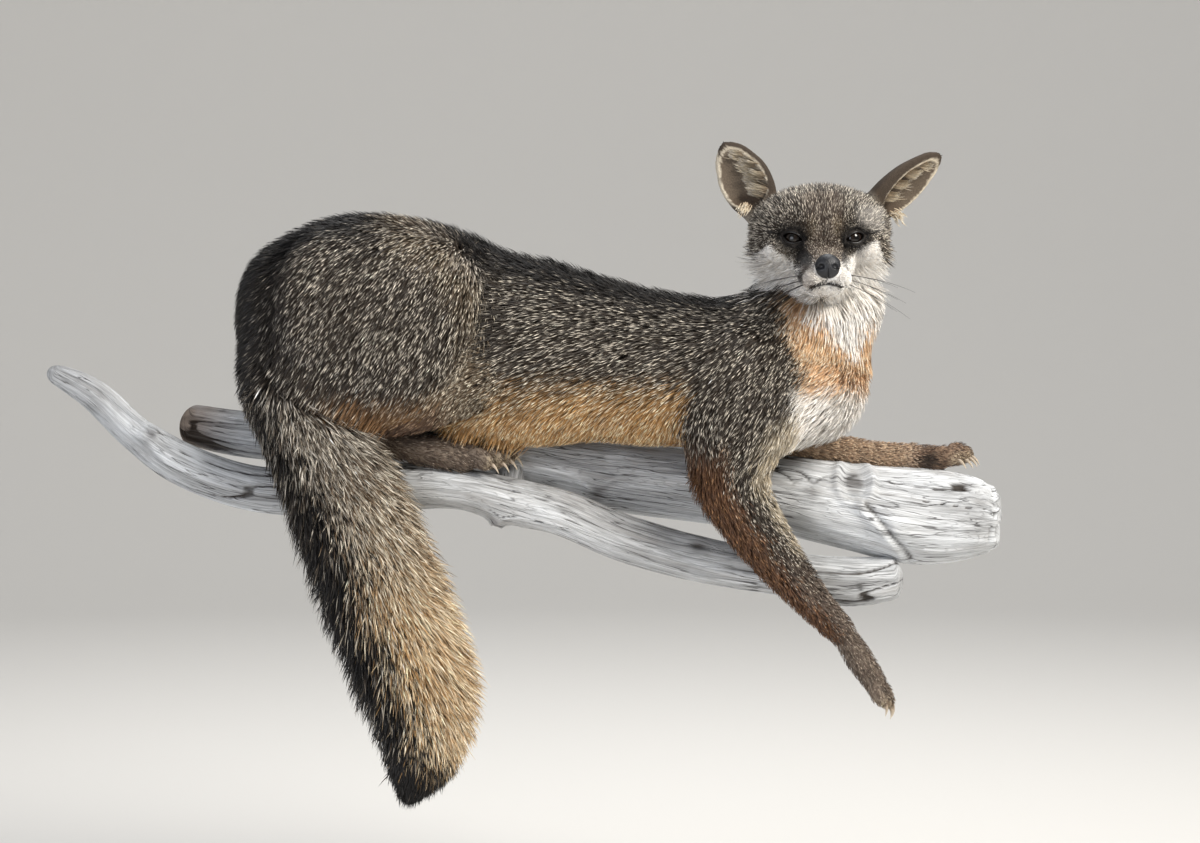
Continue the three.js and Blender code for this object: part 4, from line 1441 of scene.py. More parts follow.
def blade_mesh(name, p0, p1, p2, side, width, colours, sheet, rings=RINGS):
    """Joins blades (curve p0 p1 p2, colours at four heights) into one mesh."""
    n = len(p0)
    verts = np.empty((n, CORNERS, 3))
    shade = np.empty((n, CORNERS, 3))
    for k, t in enumerate(rings):
        middle = p0 * (1 - t) ** 2 + p1 * (2 * t * (1 - t)) + p2 * t * t
        arm = side * (width * WIDTHS[k] / 2)[:, None]
        verts[:, 2 * k] = middle - arm
        verts[:, 2 * k + 1] = middle + arm
        shade[:, 2 * k] = shade[:, 2 * k + 1] = colours[:, k]
    verts[:, -1] = p2
    shade[:, -1] = colours[:, 3]
    verts[:, :, 1] = np.minimum(verts[:, :, 1], -WALL_GAP)
    faces = (np.arange(n)[:, None, None] * CORNERS + BLADE).reshape(-1, 3)
    obj = mesh_object(name, verts.reshape(-1, 3), faces, smooth_shade=True)
    add_colour(obj, shade.reshape(-1, 3))
    uv = sheet[:, None] + BLADE_UV * UV_REACH
    add_uv(obj, "OFBake", uv[:, BLADE.ravel()])
    obj.data.materials.append(HAIR)
    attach(obj, "root")
    return obj


def dyed(share, own, count, clump=0.8):
    """Colours of each tuft at root, middle, band and tip."""
    banded = RNG.random(count) < (share @ BANDED) * (1 + clump * (own[:, 1] - 0.5))
    four = np.einsum("nz,zkc->nkc", share, BANDS)
    four[:, 2] = np.where(banded[:, None], four[:, 2], four[:, 1] * 0.9)
    light_tip = banded & (RNG.random(count) < 0.25)
    four[:, 3] = np.where(light_tip[:, None], 0.6 * four[:, 2] + 0.4 * four[:, 3], four[:, 3])
    four[:, 2] *= np.where(banded, RNG.uniform(0.45, 1.12, count), 1.0)[:, None]
    even = 1 - 0.65 * share[:, ZONES.index("white")] - 0.4 * share[:, ZONES.index("apricot")]
    bright = np.exp(even * (RNG.normal(0, 0.14, count) + 0.26 * (own[:, 2] - 0.5)))
    return np.clip(four * bright[:, None, None], 0, 1)


def comb(roots, long, fan=0.17, draw=0.4, lock=7.0, seed=1):
    """Curves of the tufts: start, bend, tip, flat side, and the lock's numbers."""
    p, n, lie, deep = roots["p"], roots["n"], roots["lie"], roots["deep"]
    count = len(p)
    middle, own = lock_of(p, lock, seed)
    across = np.cross(n, lie)
    sway = RNG.normal(0, fan, count) + (own[:, 0] - 0.5) * fan * 2.2
    way = unit(lie * np.cos(sway)[:, None] + across * np.sin(sway)[:, None])
    reach = deep * np.clip(RNG.normal(0.82, 0.16, count), 0.35, 1.12)
    rise = np.clip(reach / long, 0.08, 0.92)
    flat = np.sqrt(1 - rise ** 2)
    tip = p + (way * flat[:, None] + n * rise[:, None]) * long[:, None]
    pull = middle - p
    pull -= n * (pull * n).sum(1)[:, None]
    tip += pull * draw
    target = -(deep - reach)
    for _ in range(2):
        off = outline(tip) - target
        tip -= n * np.clip(off, -0.35 * deep - 2, 0.6 * deep + 4)[:, None] * 0.7
    stray = np.where(RNG.random(count) < 0.12, np.minimum(0.3 * deep, 4.5), 0.0)
    over = np.clip(outline(tip) - 1.2 - stray, 0, None)
    tip -= unit(tip - p) * np.minimum(over * 1.15, 0.75 * long)[:, None]
    bend = p + (tip - p) * 0.42 + n * (long * 0.10 + deep * 0.12)[:, None]
    start = p - n * 0.6
    roll = RNG.normal(0, 0.45, count)
    side = unit(np.cross(tip - p, n))
    up = unit(np.cross(side, tip - p))
    side = side * np.cos(roll)[:, None] + up * np.sin(roll)[:, None]
    return start, bend, tip, side, own


def coat(name, share, count, long, wide, keep=None, jitter=3.0, slot="coat_grizzled",
         rings=RINGS, clump=0.8, ahead=0.0, **combing):
    """Grows one region of the coat, in pieces small enough to handle. Each tuft
    takes its colour from the markings and painted shade at its root, or part-way to its tip."""
    roots = scatter(share, count)
    if keep is not None:
        ok = keep(roots)
        roots = {key: value[ok] for key, value in roots.items()}
    total = len(roots["p"])
    length = long(roots) * np.exp(RNG.normal(0, 0.12, total))
    start, bend, tip, side, own = comb(roots, length, **combing)
    lead = ahead(roots["p"])[:, None] if callable(ahead) else ahead
    shares = markings_and_painted_shade(roots["p"] + lead * (tip - roots["p"]) + RNG.normal(0, jitter, (total, 3)))
    colours = dyed(shares, own, total, clump)
    width = wide * np.exp(RNG.normal(0, 0.15, total))
    number = panel_of(roots["p"])
    sheet = to_sheet(on_panel(roots["p"], number), number)
    order = np.argsort(roots["p"][:, 0], kind="stable")
    parts = max(1, math.ceil(total * len(BLADE) / MOST_FACES))
    for k, piece in enumerate(np.array_split(order, parts)):
        obj = blade_mesh(f"{name}_{k + 1}" if parts > 1 else name, start[piece], bend[piece],
                         tip[piece], side[piece], width[piece], colours[piece], sheet[piece], rings)
    say(name, total, "tufts in", parts)
    return total


# %% [markdown]
# ## Regions of the coat
# Long and loose on trunk and tail, dense on the neck, short on legs and face.
# Each region has its own length, width and number of tufts.

# %% Regions
def clear_of_face(roots):
    """Keeps tufts off the eyes, the nose and the line of the lips."""
    p = roots["p"]
    ok = np.linalg.norm((p - NOSE_AT) / np.array([9.6, 6.4, 9.2]), axis=1) > 1.12
    q = to_head(p)
    ok &= ~((np.abs(q[:, 2] - lip_line(q)) < 1.5) & (q[:, 1] < -50) & (np.abs(q[:, 0]) < 14))
    for way in (1, -1):
        r = np.linalg.norm(p - EYES[way][0], axis=1)
        ok &= (r > 9.3) & ~((r < 14) & (lid_slit(p, way) < 1.3))
    return ok


def clear_of_wood(roots):
    """Keeps tufts out of the driftwood."""
    p = roots["p"]
    ok = p[:, 1] < -3
    for form in WOOD.values():
        close = np.flatnonzero(inside(form, p))
        if len(close):
            ok[close] &= form.distance(p[close]) > 0.2
    return ok


tri_owner = owner(tri_middle)
EARY = ear_place(tri_middle)[0] > 0
HEADY = owned(tri_owner, "skull", "muzzle", "jaw", "ruff_left", "ruff_right") & ~EARY
TAILY = owned(tri_owner, "tail")
LEGGY = owned(tri_owner, "forearm_right", "forearm_left", "shank_right", "shank_left")
PAWY = owned(tri_owner, "hindpaw_right", "hindpaw_left", "forepaw_right", "forepaw_left")
NECKY = owned(tri_owner, "neck") & ~EARY
TRUNKY = ~(EARY | HEADY | TAILY | LEGGY | PAWY | NECKY)
say("areas", {k: round(float(tri_area[v].sum() / 100)) for k, v in dict(
    ears=EARY, head=HEADY, tail=TAILY, legs=LEGGY, paws=PAWY, neck=NECKY, trunk=TRUNKY).items()})

THIN = 1.0
FILL_DEPTH = 19.0       # millimetres of coat in which hair reaches two thirds of its length


def grown(deep, full):
    """Length of hair in a coat of this depth, up to its full length."""
    return full * (1 - np.exp(-deep / FILL_DEPTH))


body_long = lambda r: grown(r["deep"], 52)
seen_side = 0.55 + 0.45 * ramp(-40, -75, tri_middle[:, 1])     # fewer tufts towards the wall
coat("coat_trunk", TRUNKY * seen_side, int(114000 * THIN), body_long, 0.64,
     keep=clear_of_wood, lock=3.0, seed=3, fan=0.10, draw=0.3, clump=0.3, rings=FINE_RINGS,
     ahead=lambda p: 0.55 * ramp(128, 150, p[:, 0]))
coat("coat_neck", NECKY * 1.0, int(26000 * THIN), body_long, 0.85,
     keep=clear_of_wood, lock=4.2, seed=4, slot="coat_pale", rings=FINE_RINGS,
     ahead=0.5, draw=0.12, fan=0.08, clump=0.3)
coat("coat_tail", TAILY * 1.0, int(55000 * THIN), lambda r: grown(r["deep"], 62), 1.1,
     keep=clear_of_wood, lock=6.5, seed=5, fan=0.24, draw=0.7, slot="coat_tail",
     rings=(0.0, 0.62, 0.84))
coat("coat_legs", LEGGY * 1.0, int(24000 * THIN), lambda r: grown(r["deep"], 44), 0.66,
     keep=clear_of_wood, lock=3.0, seed=6, fan=0.12, slot="coat_rust", rings=(0.0, 0.76, 0.88))
coat("coat_paws", PAWY * 1.0, int(13000 * THIN), lambda r: 2.4 + 1.6 * r["deep"], 0.5,
     keep=clear_of_wood, lock=3, seed=7, slot="coat_paws", jitter=1.5)


def face_long(r):
    """Length of hair on the head: short at eyes and muzzle, long in the ruff."""
    q = to_head(r["p"])
    eye = np.min([np.linalg.norm(r["p"] - EYES[way][0], axis=1) for way in (1, -1)], axis=0)
    near_eye = 0.42 + 0.58 * ramp(11, 25, eye)
    muzzle = 0.55 + 0.45 * ramp(-60, -40, q[:, 1])
    ruff = np.where(q[:, 0] < 0, 20, 13) * ramp(9, 17, r["deep"]) * ramp(6, -14, q[:, 2])
    return (1.6 + grown(r["deep"], 37) + ruff) * near_eye * muzzle


denser_ahead = 1 + 1.2 * ramp(-20, -60, to_head(tri_middle)[:, 1])
coat("coat_head", HEADY * denser_ahead, int(60000 * THIN), face_long, 0.5, keep=clear_of_face,
     lock=2.8, fan=0.12, ahead=0.5, seed=8, slot="coat_grizzled", jitter=0.9, draw=0.25)


def ear_long(r):
    """Length of hair on an ear: longer on its back and at its root."""
    kind, high, _, _ = ear_place(r["p"])
    return 2.6 + 2.6 * (kind < 2) + 9 * (kind < 2) * ramp(0.34, 0.04, high)


coat("coat_ears", EARY * 1.0, int(12000 * THIN), ear_long, 0.5,
     lock=3, seed=9, slot="coat_ears", jitter=0.6)


def ear_locks(per_ear=900):
    """Long cream hair inside each ear, swept up and out in four steps from the
    edge nearer the crown."""
    sets = []
    for shell, _, root, axis, opening, across in EARS.values():
        crown = -np.sign(root[0]) * np.sign(across[0])
        near = np.flatnonzero((kind == 2) & inside(shell, skin_verts) & (high > 0.12)
                              & (high < 0.86) & (inward > 0.15) & (inward < 0.95))
        step = np.array([0.20, 0.38, 0.56, 0.74])
        close = np.abs(high[near][:, None] - step).min(1)
        wanted = np.exp(-(close / 0.03) ** 2)
        pick = RNG.choice(near, per_ear, p=wanted / wanted.sum())
        p = skin_verts[pick] + RNG.normal(0, 0.8, (per_ear, 3))
        n = skin_normal[pick]
        way = from_head(unit(-crown * across * 0.8 + unit(axis) * 1.0 + opening * 0.2)[None], True)[0]
        way = unit(way + RNG.normal(0, 0.10, (per_ear, 3)))
        long = (7 + 9 * inward[pick].clip(0, 1)) * (1.15 - 0.6 * high[pick])
        long = long * np.exp(RNG.normal(0, 0.15, per_ear))
        tip = p + way * long[:, None] + n * 1.2
        bend = p + way * (long * 0.45)[:, None] + n * 3.2
        side = unit(np.cross(way, n))
        sets.append((p - n * 0.4, bend, tip, side, pick))
    p0, p1, p2, side, pick = (np.concatenate(group) for group in zip(*sets))
    count = len(p0)
    share = np.zeros((count, len(ZONES)))
    share[:, ZONES.index("cream")] = np.where(np.arange(count) < per_ear, 0.65, 0.95)
    share[:, ZONES.index("ear")] = 1 - share[:, ZONES.index("cream")]
    number = panel_of(skin_verts[pick])
    sheet = to_sheet(on_panel(skin_verts[pick], number), number)
    obj = blade_mesh("coat_ear_locks", p0, p1, p2, side, np.full(count, 0.6),
                     dyed(share, RNG.random((count, 3)), count), sheet)


def ear_tufts(per_ear=80):
    """Cream tuft over the small pouch at the outer base of each ear."""
    p = np.concatenate([RNG.normal(at, 2.0, (per_ear, 3)) for at in ([-59, 5, 20], [61, 5, 13])])
    way = np.concatenate([np.tile(unit(np.array(aim, float)), (per_ear, 1))
                          for aim in ([-6, -3, -10], [7, -4, -8])])
    way = unit(way + RNG.normal(0, 0.16, way.shape))
    p, way = from_head(p), from_head(way, True)
    long = 5.0 * np.exp(RNG.normal(0, 0.25, len(p)))[:, None]
    side = unit(np.cross(way, from_head(np.array([[0, -1, 0.2]]), True)))
    share = np.zeros((len(p), len(ZONES)))
    share[:, ZONES.index("cream")] = 1.0
    number = panel_of(p)
    obj = blade_mesh("coat_ear_tufts", p, p + way * long * 0.5 + [0, -1.2, 0], p + way * long, side,
                     np.full(len(p), 0.6), dyed(share, RNG.random((len(p), 3)), len(p)),
                     to_sheet(on_panel(p, number), number))


ear_locks()
ear_tufts()

# %% [markdown]
# ## Eyes, nose, claws and whiskers
# Kept as pieces of their own, as on a real mount: glass eyes set in the
# sockets, a leather nose, horn claws growing from the toes.

# %% Eyes
def ball_mesh(name, centre, radius, turn, rings=40, around=56, bulge=0.0):
    """A sphere whose first axis looks ahead, a little domed over the iris."""
    theta = np.linspace(0, math.pi, rings + 1)[1:-1]
    phi = np.arange(around) / around * 2 * math.pi
    t, f = np.meshgrid(theta, phi, indexing="ij")
    rise = 1 + bulge * np.exp(-(t / 0.55) ** 2)
    unit_pts = np.stack([np.cos(t), np.sin(t) * np.cos(f), np.sin(t) * np.sin(f)], -1) * rise[..., None]
    pts = np.concatenate([[[1 + bulge, 0, 0]], unit_pts.reshape(-1, 3), [[-1, 0, 0]]])
    faces = []
    idx = lambda r, k: 1 + r * around + k % around
    for k in range(around):
        faces.append((0, idx(0, k), idx(0, k + 1), idx(0, k + 1)))
        for r in range(rings - 2):
            faces.append((idx(r, k), idx(r + 1, k), idx(r + 1, k + 1), idx(r, k + 1)))
        last = 1 + (rings - 1) * around
        faces.append((idx(rings - 2, k + 1), idx(rings - 2, k), last, last))
    quads = [f for f in faces if f[2] != f[3]]
    tris = [f[:3] for f in faces if f[2] == f[3]]
    mesh = bpy.data.meshes.new(name)
    mesh.from_pydata([tuple(v) for v in (centre + pts * radius @ turn) * MM], [], quads + tris)
    mesh.update()
    mesh.shade_smooth()
    obj = bpy.data.objects.new(name, mesh)
    bpy.context.scene.collection.objects.link(obj)
    return obj, pts


IRIS, PUPIL, DARK_RIM = linear("#170D07"), linear("#040303"), linear("#0D0907")
for way, name in ((1, "eye_left"), (-1, "eye_right")):
    centre, side, ahead, up = EYES[way]
    eye, pts = ball_mesh(f"glass_{name}", centre, EYE_R, np.stack([ahead, side, up]), bulge=0.035)
    out = np.hypot(pts[:, 1] / 0.85, pts[:, 2])
    tint = np.where((out < 0.36)[:, None], PUPIL, IRIS)
    tint = np.where((out > 0.66)[:, None] | (pts[:, 0] < 0)[:, None], DARK_RIM, tint)
    add_colour(eye, tint)
    eye.data.materials.append(GLASS)
    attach(eye, "root")
    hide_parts(name)


# %% Nose leather
def nose_field(p):
    """Distance to the nose pad: a domed pad, two nostrils and the groove."""
    q = to_head(p)
    x, _, z = q.T
    pad = Ball([0, -88, -35], [9.8, 6.6, 9.4]).distance(q)
    taper = np.abs(x) - (9.6 - 0.34 * np.clip(-(z + 35), 0, 10) ** 1.25 * 0.6)
    d = np.maximum(pad, taper * 0.8)
    for way in (1, -1):
        hole = Ball([way * 5.6, -94.2, -35.6], [2.7, 3.4, 2.2]).distance(q)
        slit = Ball([way * 8.6, -91.0, -37.0], [2.6, 3.0, 0.9]).distance(q)
        d = carved(d, melted(hole, slit, 1.2), 0.9)
    groove = np.maximum(np.abs(x) - 0.35, z + 37)
    return carved(d, np.maximum(groove, -(pad + 0.9)), 0.5)


corner = np.array([[x, y, z] for x in (-12, 12) for y in (-98, -78) for z in (-47, -23)], float)
corner = from_head(corner)
nose_verts, nose_quads = surface_net(nose_field, corner.min(0), corner.max(0), 0.55)
nose_verts = settle(nose_field, relax(nose_verts, nose_quads, 2, 0.5), 1)
nose = mesh_object("nose_pad", nose_verts, nose_quads)
nose.data.materials.append(LEATHER)
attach(nose, "root")
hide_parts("nose")


# %% Sweeps: lid rims, claws and whiskers
def tube_quads(rows, around):
    """Quads between rows of corners that run round a tube."""
    i, k = np.meshgrid(np.arange(rows - 1), np.arange(around), indexing="ij")
    a, b = i * around + k, i * around + (k + 1) % around
    return np.stack([a, b, b + around, a + around], -1).reshape(-1, 4)


def sweep(path, radii, around=8):
    """Corners and quads of a tapering tube along a path."""
    path = np.asarray(path, float)
    along = unit(np.gradient(path, axis=0))
    ref = np.array([0.13, 0.31, 0.94])
    side = unit(np.cross(along, ref))
    top = np.cross(along, side)
    f = np.arange(around) / around * 2 * math.pi
    ring = side[:, None] * np.cos(f)[None, :, None] + top[:, None] * np.sin(f)[None, :, None]
    verts = (path[:, None] + ring * np.asarray(radii)[:, None, None]).reshape(-1, 3)
    return verts, tube_quads(len(path), around)


def joined(name, parts, colours, mat):
    """One object from many sweeps."""
    verts, faces, shades, base = [], [], [], 0
    for (v, f), colour in zip(parts, colours):
        verts.append(v)
        faces.append(f + base)
        shades.append(colour)
        base += len(v)
    obj = mesh_object(name, np.concatenate(verts), np.concatenate(faces))
    add_colour(obj, np.concatenate(shades))
    obj.data.materials.append(mat)
    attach(obj, "root")
    return obj


def lid_edge(way, rise=9.35):
    """The closed almond line of the lids, lying on the eyeball's cover."""
    centre, side, ahead, up = EYES[way]
    t = np.linspace(-1, 1, 26)
    x = t * LID_HALF - 0.3
    upper, lower = lid_curves(t)
    xs = np.concatenate([x, x[::-1]])
    zs = np.concatenate([upper, lower[::-1]])
    ys = np.sqrt(np.maximum(rise ** 2 - xs ** 2 - zs ** 2, 1.0))
    return centre + xs[:, None] * side + ys[:, None] * ahead + zs[:, None] * up


rims = []
for way in (1, -1):
    loop = lid_edge(way)
    rims.append(sweep(np.vstack([loop, loop[:1]]), np.full(len(loop) + 1, 0.7), 8))
joined("lid_rims", rims, [np.tile(linear("#100D0C"), (len(v), 1)) for v, _ in rims], HORN)


def lip_front(x, z):
    """Row of points where the skin is met from the front, at x and z of the head."""
    depth = np.arange(-112, -56, 0.2)
    q = np.stack([np.repeat(x, len(depth)), np.tile(depth, len(x)), np.repeat(z, len(depth))], 1)
    hit = flesh(from_head(q)).reshape(len(x), -1) < 0
    return np.where(hit.any(1), depth[np.argmax(hit, axis=1)], depth[-1])


x = np.linspace(-12.8, 10.0, 29)
z = lip_line(x[:, None])
y = 0.6 * lip_front(x, z + 1.4) + 0.4 * lip_front(x, z - 1.4)
lips = [sweep(from_head(np.stack([x, y + 0.1, z], 1)), 0.8 * (1 - np.abs((x + 1.4) / 11.9) ** 3) + 0.15, 8)]
z = np.linspace(-43.5, -47.2, 9)
x = np.zeros(9) - 0.4
lips.append(sweep(from_head(np.stack([x, lip_front(x + 0.01, z) + 0.25, z], 1)), np.full(9, 0.55), 8))
joined("lips", lips, [np.tile(linear("#120F0F"), (len(v), 1)) for v, _ in lips], HORN)

CLAW_LONG, CLAW_THICK = 7.5, 1.7
claws, claw_tints = [], []
for forms, tips in PAWS.values():
    for point, ahead, across in tips:
        down = unit(np.cross(across, ahead))
        down = down if down[2] < 0 else -down
        t = np.linspace(0, 1, 9)[:, None]
        path = point - ahead * 2.4 + ahead * (t * (CLAW_LONG + 1.6)) + down * (5.4 * t ** 2 - 0.6)
        radii = CLAW_THICK * (1 - t[:, 0] ** 1.6) * 0.92 + 0.12
        v, f = sweep(path, radii, 8)
        claws.append((v, f))
        fade = np.repeat(t[:, 0], 8)[:, None]
        claw_tints.append(linear("#8C7A68") * (1 - fade) + linear("#D9CBB5") * fade)
joined("claws", claws, claw_tints, HORN)

whiskers, tints = [], []
for way in (1, -1):
    for k in range(9):
        row, col = divmod(k, 3)
        root = from_head(np.array([[way * (13.5 + 1.2 * col), -78 + 5 * col, -40.5 - 3.2 * row]]))[0]
        long = 34 + 9 * col + RNG.normal(0, 3)
        aim = from_head(unit(np.array([way * 1.0, 0.30 - 0.12 * row, -0.05 - 0.16 * row]))[None], True)[0]
        t = np.linspace(0, 1, 12)[:, None]
        path = root + aim * long * t + np.array([0, 0.10, -0.16]) * long * t ** 2
        whiskers.append(sweep(path, 0.26 * (1 - 0.85 * t[:, 0]) + 0.03, 5))
        tints.append(np.tile(linear("#1B1715"), (12 * 5, 1)))
joined("whiskers", whiskers, tints, HORN)
say("small pieces")

# %% [markdown]
# ## Driftwood
# Limbs that have lain in water and sun lose bark and soft wood. What stays is
# silver-gray, ridged along the grain, split by long checks and knobbed where
# side branches grew. The ridges are real shape, made on a tube of rings; only
# the finest fibre is bump.

# %% Limb shape
BACK_FACE, LOWER_BACK = -12.3, -20      # how near to the wall each limb comes


def limb(name, stations, blunt, phase, along, around, knots, collar=None, brown_end=None):
    """A weathered limb as rings of corners along its centre line."""
    s = np.asarray(stations, float)
    rough = spline(s[:, :3], 300)
    length = float(np.linalg.norm(np.diff(rough, axis=0), axis=1).sum())
    ends = (1 - np.cos(np.linspace(0, math.pi / 2, 9)[:-1])) * blunt / length
    u = np.concatenate([ends, np.linspace(blunt / length, 1 - blunt / length, along), 1 - ends[::-1]])
    fine = np.linspace(0, 1, 3000)
    pick = lambda curve: np.stack([np.interp(u, fine, curve[:, k]) for k in range(curve.shape[1])], 1)
    centre, size = pick(spline(s[:, :3], 3000)), pick(smooth(s[:, 3:6], 3000))
    tangent = unit(np.gradient(centre, axis=0))
    tangent = unit(relax_line(tangent, 6))
    ref = np.array([0, 1, 0.0])
    side = unit(ref - tangent * (tangent @ ref)[:, None])
    top = np.cross(tangent, side)
    near = np.clip(np.minimum(u, 1 - u) * length / blunt, 0, 1)
    cap = np.sqrt(np.maximum(1 - (1 - near) ** 2, 0.0004))
    turn = np.arange(around) / around * 2 * math.pi
    U, T = np.meshgrid(u, turn, indexing="ij")
    where = U * length
    mean = size.mean(1)[:, None]
    twist = T + 0.5 * U + 0.12 * np.sin(7 * U + phase)
    tone = np.zeros_like(U)
    lift = np.zeros_like(U)
    for ku, kt, radius, height in knots:
        dt = (T - kt + math.pi) % (2 * math.pi) - math.pi
        r = np.hypot((U - ku) * length, dt * mean) / radius
        twist += 0.55 * np.exp(-(r / 1.5) ** 2) * np.sign(dt) * np.minimum(1, np.abs(dt * mean) / 4)
        lift += height * (np.exp(-r ** 2) + 0.10 * np.cos(9 * r) * np.exp(-(r / 1.2) ** 2)
                          - 0.45 * np.exp(-(r / 0.35) ** 2))
        tone -= 0.28 * np.exp(-(r / 0.7) ** 2)
    spot = lambda across, step: np.stack([np.cos(twist) * mean / across, np.sin(twist) * mean / across,
                                          where / step + phase], -1).reshape(-1, 3)
    ridge = noise(spot(2.6, 70), 21).reshape(U.shape)
    broad = noise(spot(9.0, 110), 22).reshape(U.shape)
    lump = noise(spot(26.0, 60), 23).reshape(U.shape)
    split = 1 - np.abs(noise(spot(10.0, 150), 24)).reshape(U.shape)
    check = ramp(0.94, 0.99, split) * ramp(-0.15, 0.25, noise(spot(30, 90), 25).reshape(U.shape))
    lift += 0.55 * ridge + 1.1 * broad + 1.3 * lump - 2.8 * check
    tone += 0.13 * ridge + 0.13 * broad + 0.08 * lump - 0.75 * check
    wave = 1 + 0.045 * np.sin(3 * T + 9 * U + phase) + 0.035 * np.sin(17 * U + 2 * T + phase)
    deep = np.where(np.cos(T) > 0, size[:, 1:2], size[:, 2:3])
    ring = (np.cos(T) * deep * wave)[..., None] * top[:, None] + \
        (np.sin(T) * size[:, :1] * wave)[..., None] * side[:, None]
    out = unit(ring)
    verts = centre[:, None] + ring * cap[:, None, None] + out * (lift * cap[:, None] ** 0.5)[..., None]
    if collar is not None:
        verts, tone = collar(verts, out, tone)
        torn = ramp(0.95, 0.985, U)
        chips = noise(spot(5.0, 9), 26).reshape(U.shape)
        push = chips * 3.0 - 1.5 - 3.0 * ramp(0.2, 0.5, -chips)
        verts += tangent[:, None] * push[..., None] * torn[..., None]
        verts += out * (0.8 * chips * torn)[..., None]
        tone = tone + torn * (0.12 - 0.35 * ramp(0.1, 0.5, -chips))
    verts[..., 1] = np.minimum(verts[..., 1], BACK_FACE if name == "driftwood_upper" else LOWER_BACK)
    brown = np.zeros_like(U)
    if brown_end is not None:
        brown = ramp(brown_end, 0.0, U) * 0.8
    n = len(u)
    i, k = np.meshgrid(np.arange(n - 1), np.arange(around), indexing="ij")
    for row in (0, n - 1):
        verts[row] = verts[row].mean(0)
    obj = mesh_object(name, verts.reshape(-1, 3), tube_quads(n, around))
    tone = np.clip(0.62 + 1.5 * tone, 0, 1).reshape(-1, 1)
    silver = linear("#45403C") * (1 - tone) + linear("#E9ECEF") * tone
    warm = linear("#3C2E22") * (1 - tone) + linear("#9A7B5A") * tone
    mix = brown.reshape(-1, 1)
    add_colour(obj, silver * (1 - mix) + warm * mix)
    face_u = np.stack([U[i, k], U[i, k], U[i + 1, k], U[i + 1, k]], -1)
    face_t = np.stack([turn[k], turn[k] + turn[1], turn[k] + turn[1], turn[k]], -1)
    add_uv(obj, "OFBake", np.stack([0.01 + 0.98 * face_u, 0.01 + 0.98 * face_t / (2 * math.pi)], -1)
           .reshape(-1, 2))
    radius = float(mean.mean()) * MM
    closing = np.stack([cap[i], cap[i], cap[i + 1], cap[i + 1]], -1)
    add_uv(obj, "Grain", np.stack([face_u * length * MM,
                                   face_t * radius * closing + 0.5 * face_u * radius], -1).reshape(-1, 2))
    return obj


def relax_line(values, times):
    for _ in range(times):
        values = np.vstack([values[:1], (values[:-2] + values[1:-1] * 2 + values[2:]) / 4, values[-1:]])
    return values


def branch_collar(verts, out, tone):
    """The healed collar of a lost branch, and the fold that runs down from it."""
    x, y, z = verts[..., 0], verts[..., 1], verts[..., 2]
    front = ramp(-48, -62, y)
    ring = np.hypot((x - 206) / 15, (z + 6) / 19)
    rise = 3.6 * np.exp(-((ring - 1) / 0.2) ** 2) - 2.4 * ramp(0.85, 0.5, ring)
    t = np.clip(((x - 214) * 38 + (z + 24) * -44) / (38 ** 2 + 44 ** 2), 0, 1)
    off = np.hypot(x - (214 + 38 * t), z - (-24 - 44 * t))
    side = np.sign((x - 214) * -44 - (z + 24) * 38)
    rise += (4.6 * np.exp(-((off * side - 5.0) / 4.5) ** 2) - 4.2 * np.exp(-(off / 2.3) ** 2)) \
        * (1 - t * 0.6)
    boss = np.hypot((x - 238) / 17, (z + 38) / 15)
    rise += 6.5 * np.exp(-boss ** 2 * 1.3)
    # painted light: the limb paler towards its right end, where it lies out of the fox's shade
    tone = tone + 0.10 * ramp(110, 190, x)
    tone = tone - 0.45 * np.exp(-(off / 1.6) ** 2) * front - 0.3 * ramp(0.7, 0.3, ring) * front
    return verts + out * (rise * front)[..., None], tone


upper = limb("driftwood_upper", UPPER_LIMB, 13, 0.4, 300, 176,
             [(0.10, 1.4, 11, 2.5), (0.47, 3.9, 13, 2.2), (0.70, 4.9, 12, 1.6), (0.86, 0.8, 12, 2.0)],
             branch_collar, 0.10)
lower = limb("driftwood_lower", LOWER_LIMB, 12, 2.1, 320, 100,
             [(0.16, 5.2, 10, 3.0), (0.56, 3.3, 9, 6.5), (0.78, 5.3, 9, 2.0), (0.35, 4.6, 8, 1.8)])
SIDE_STUB = [[-74, -46, 14, 12, 13, 13], [-73, -62, -2, 10, 12, 12], [-72, -78, -16, 8, 10, 10]]
stub = limb("driftwood_stub", SIDE_STUB, 6, 1.0, 16, 40, [])


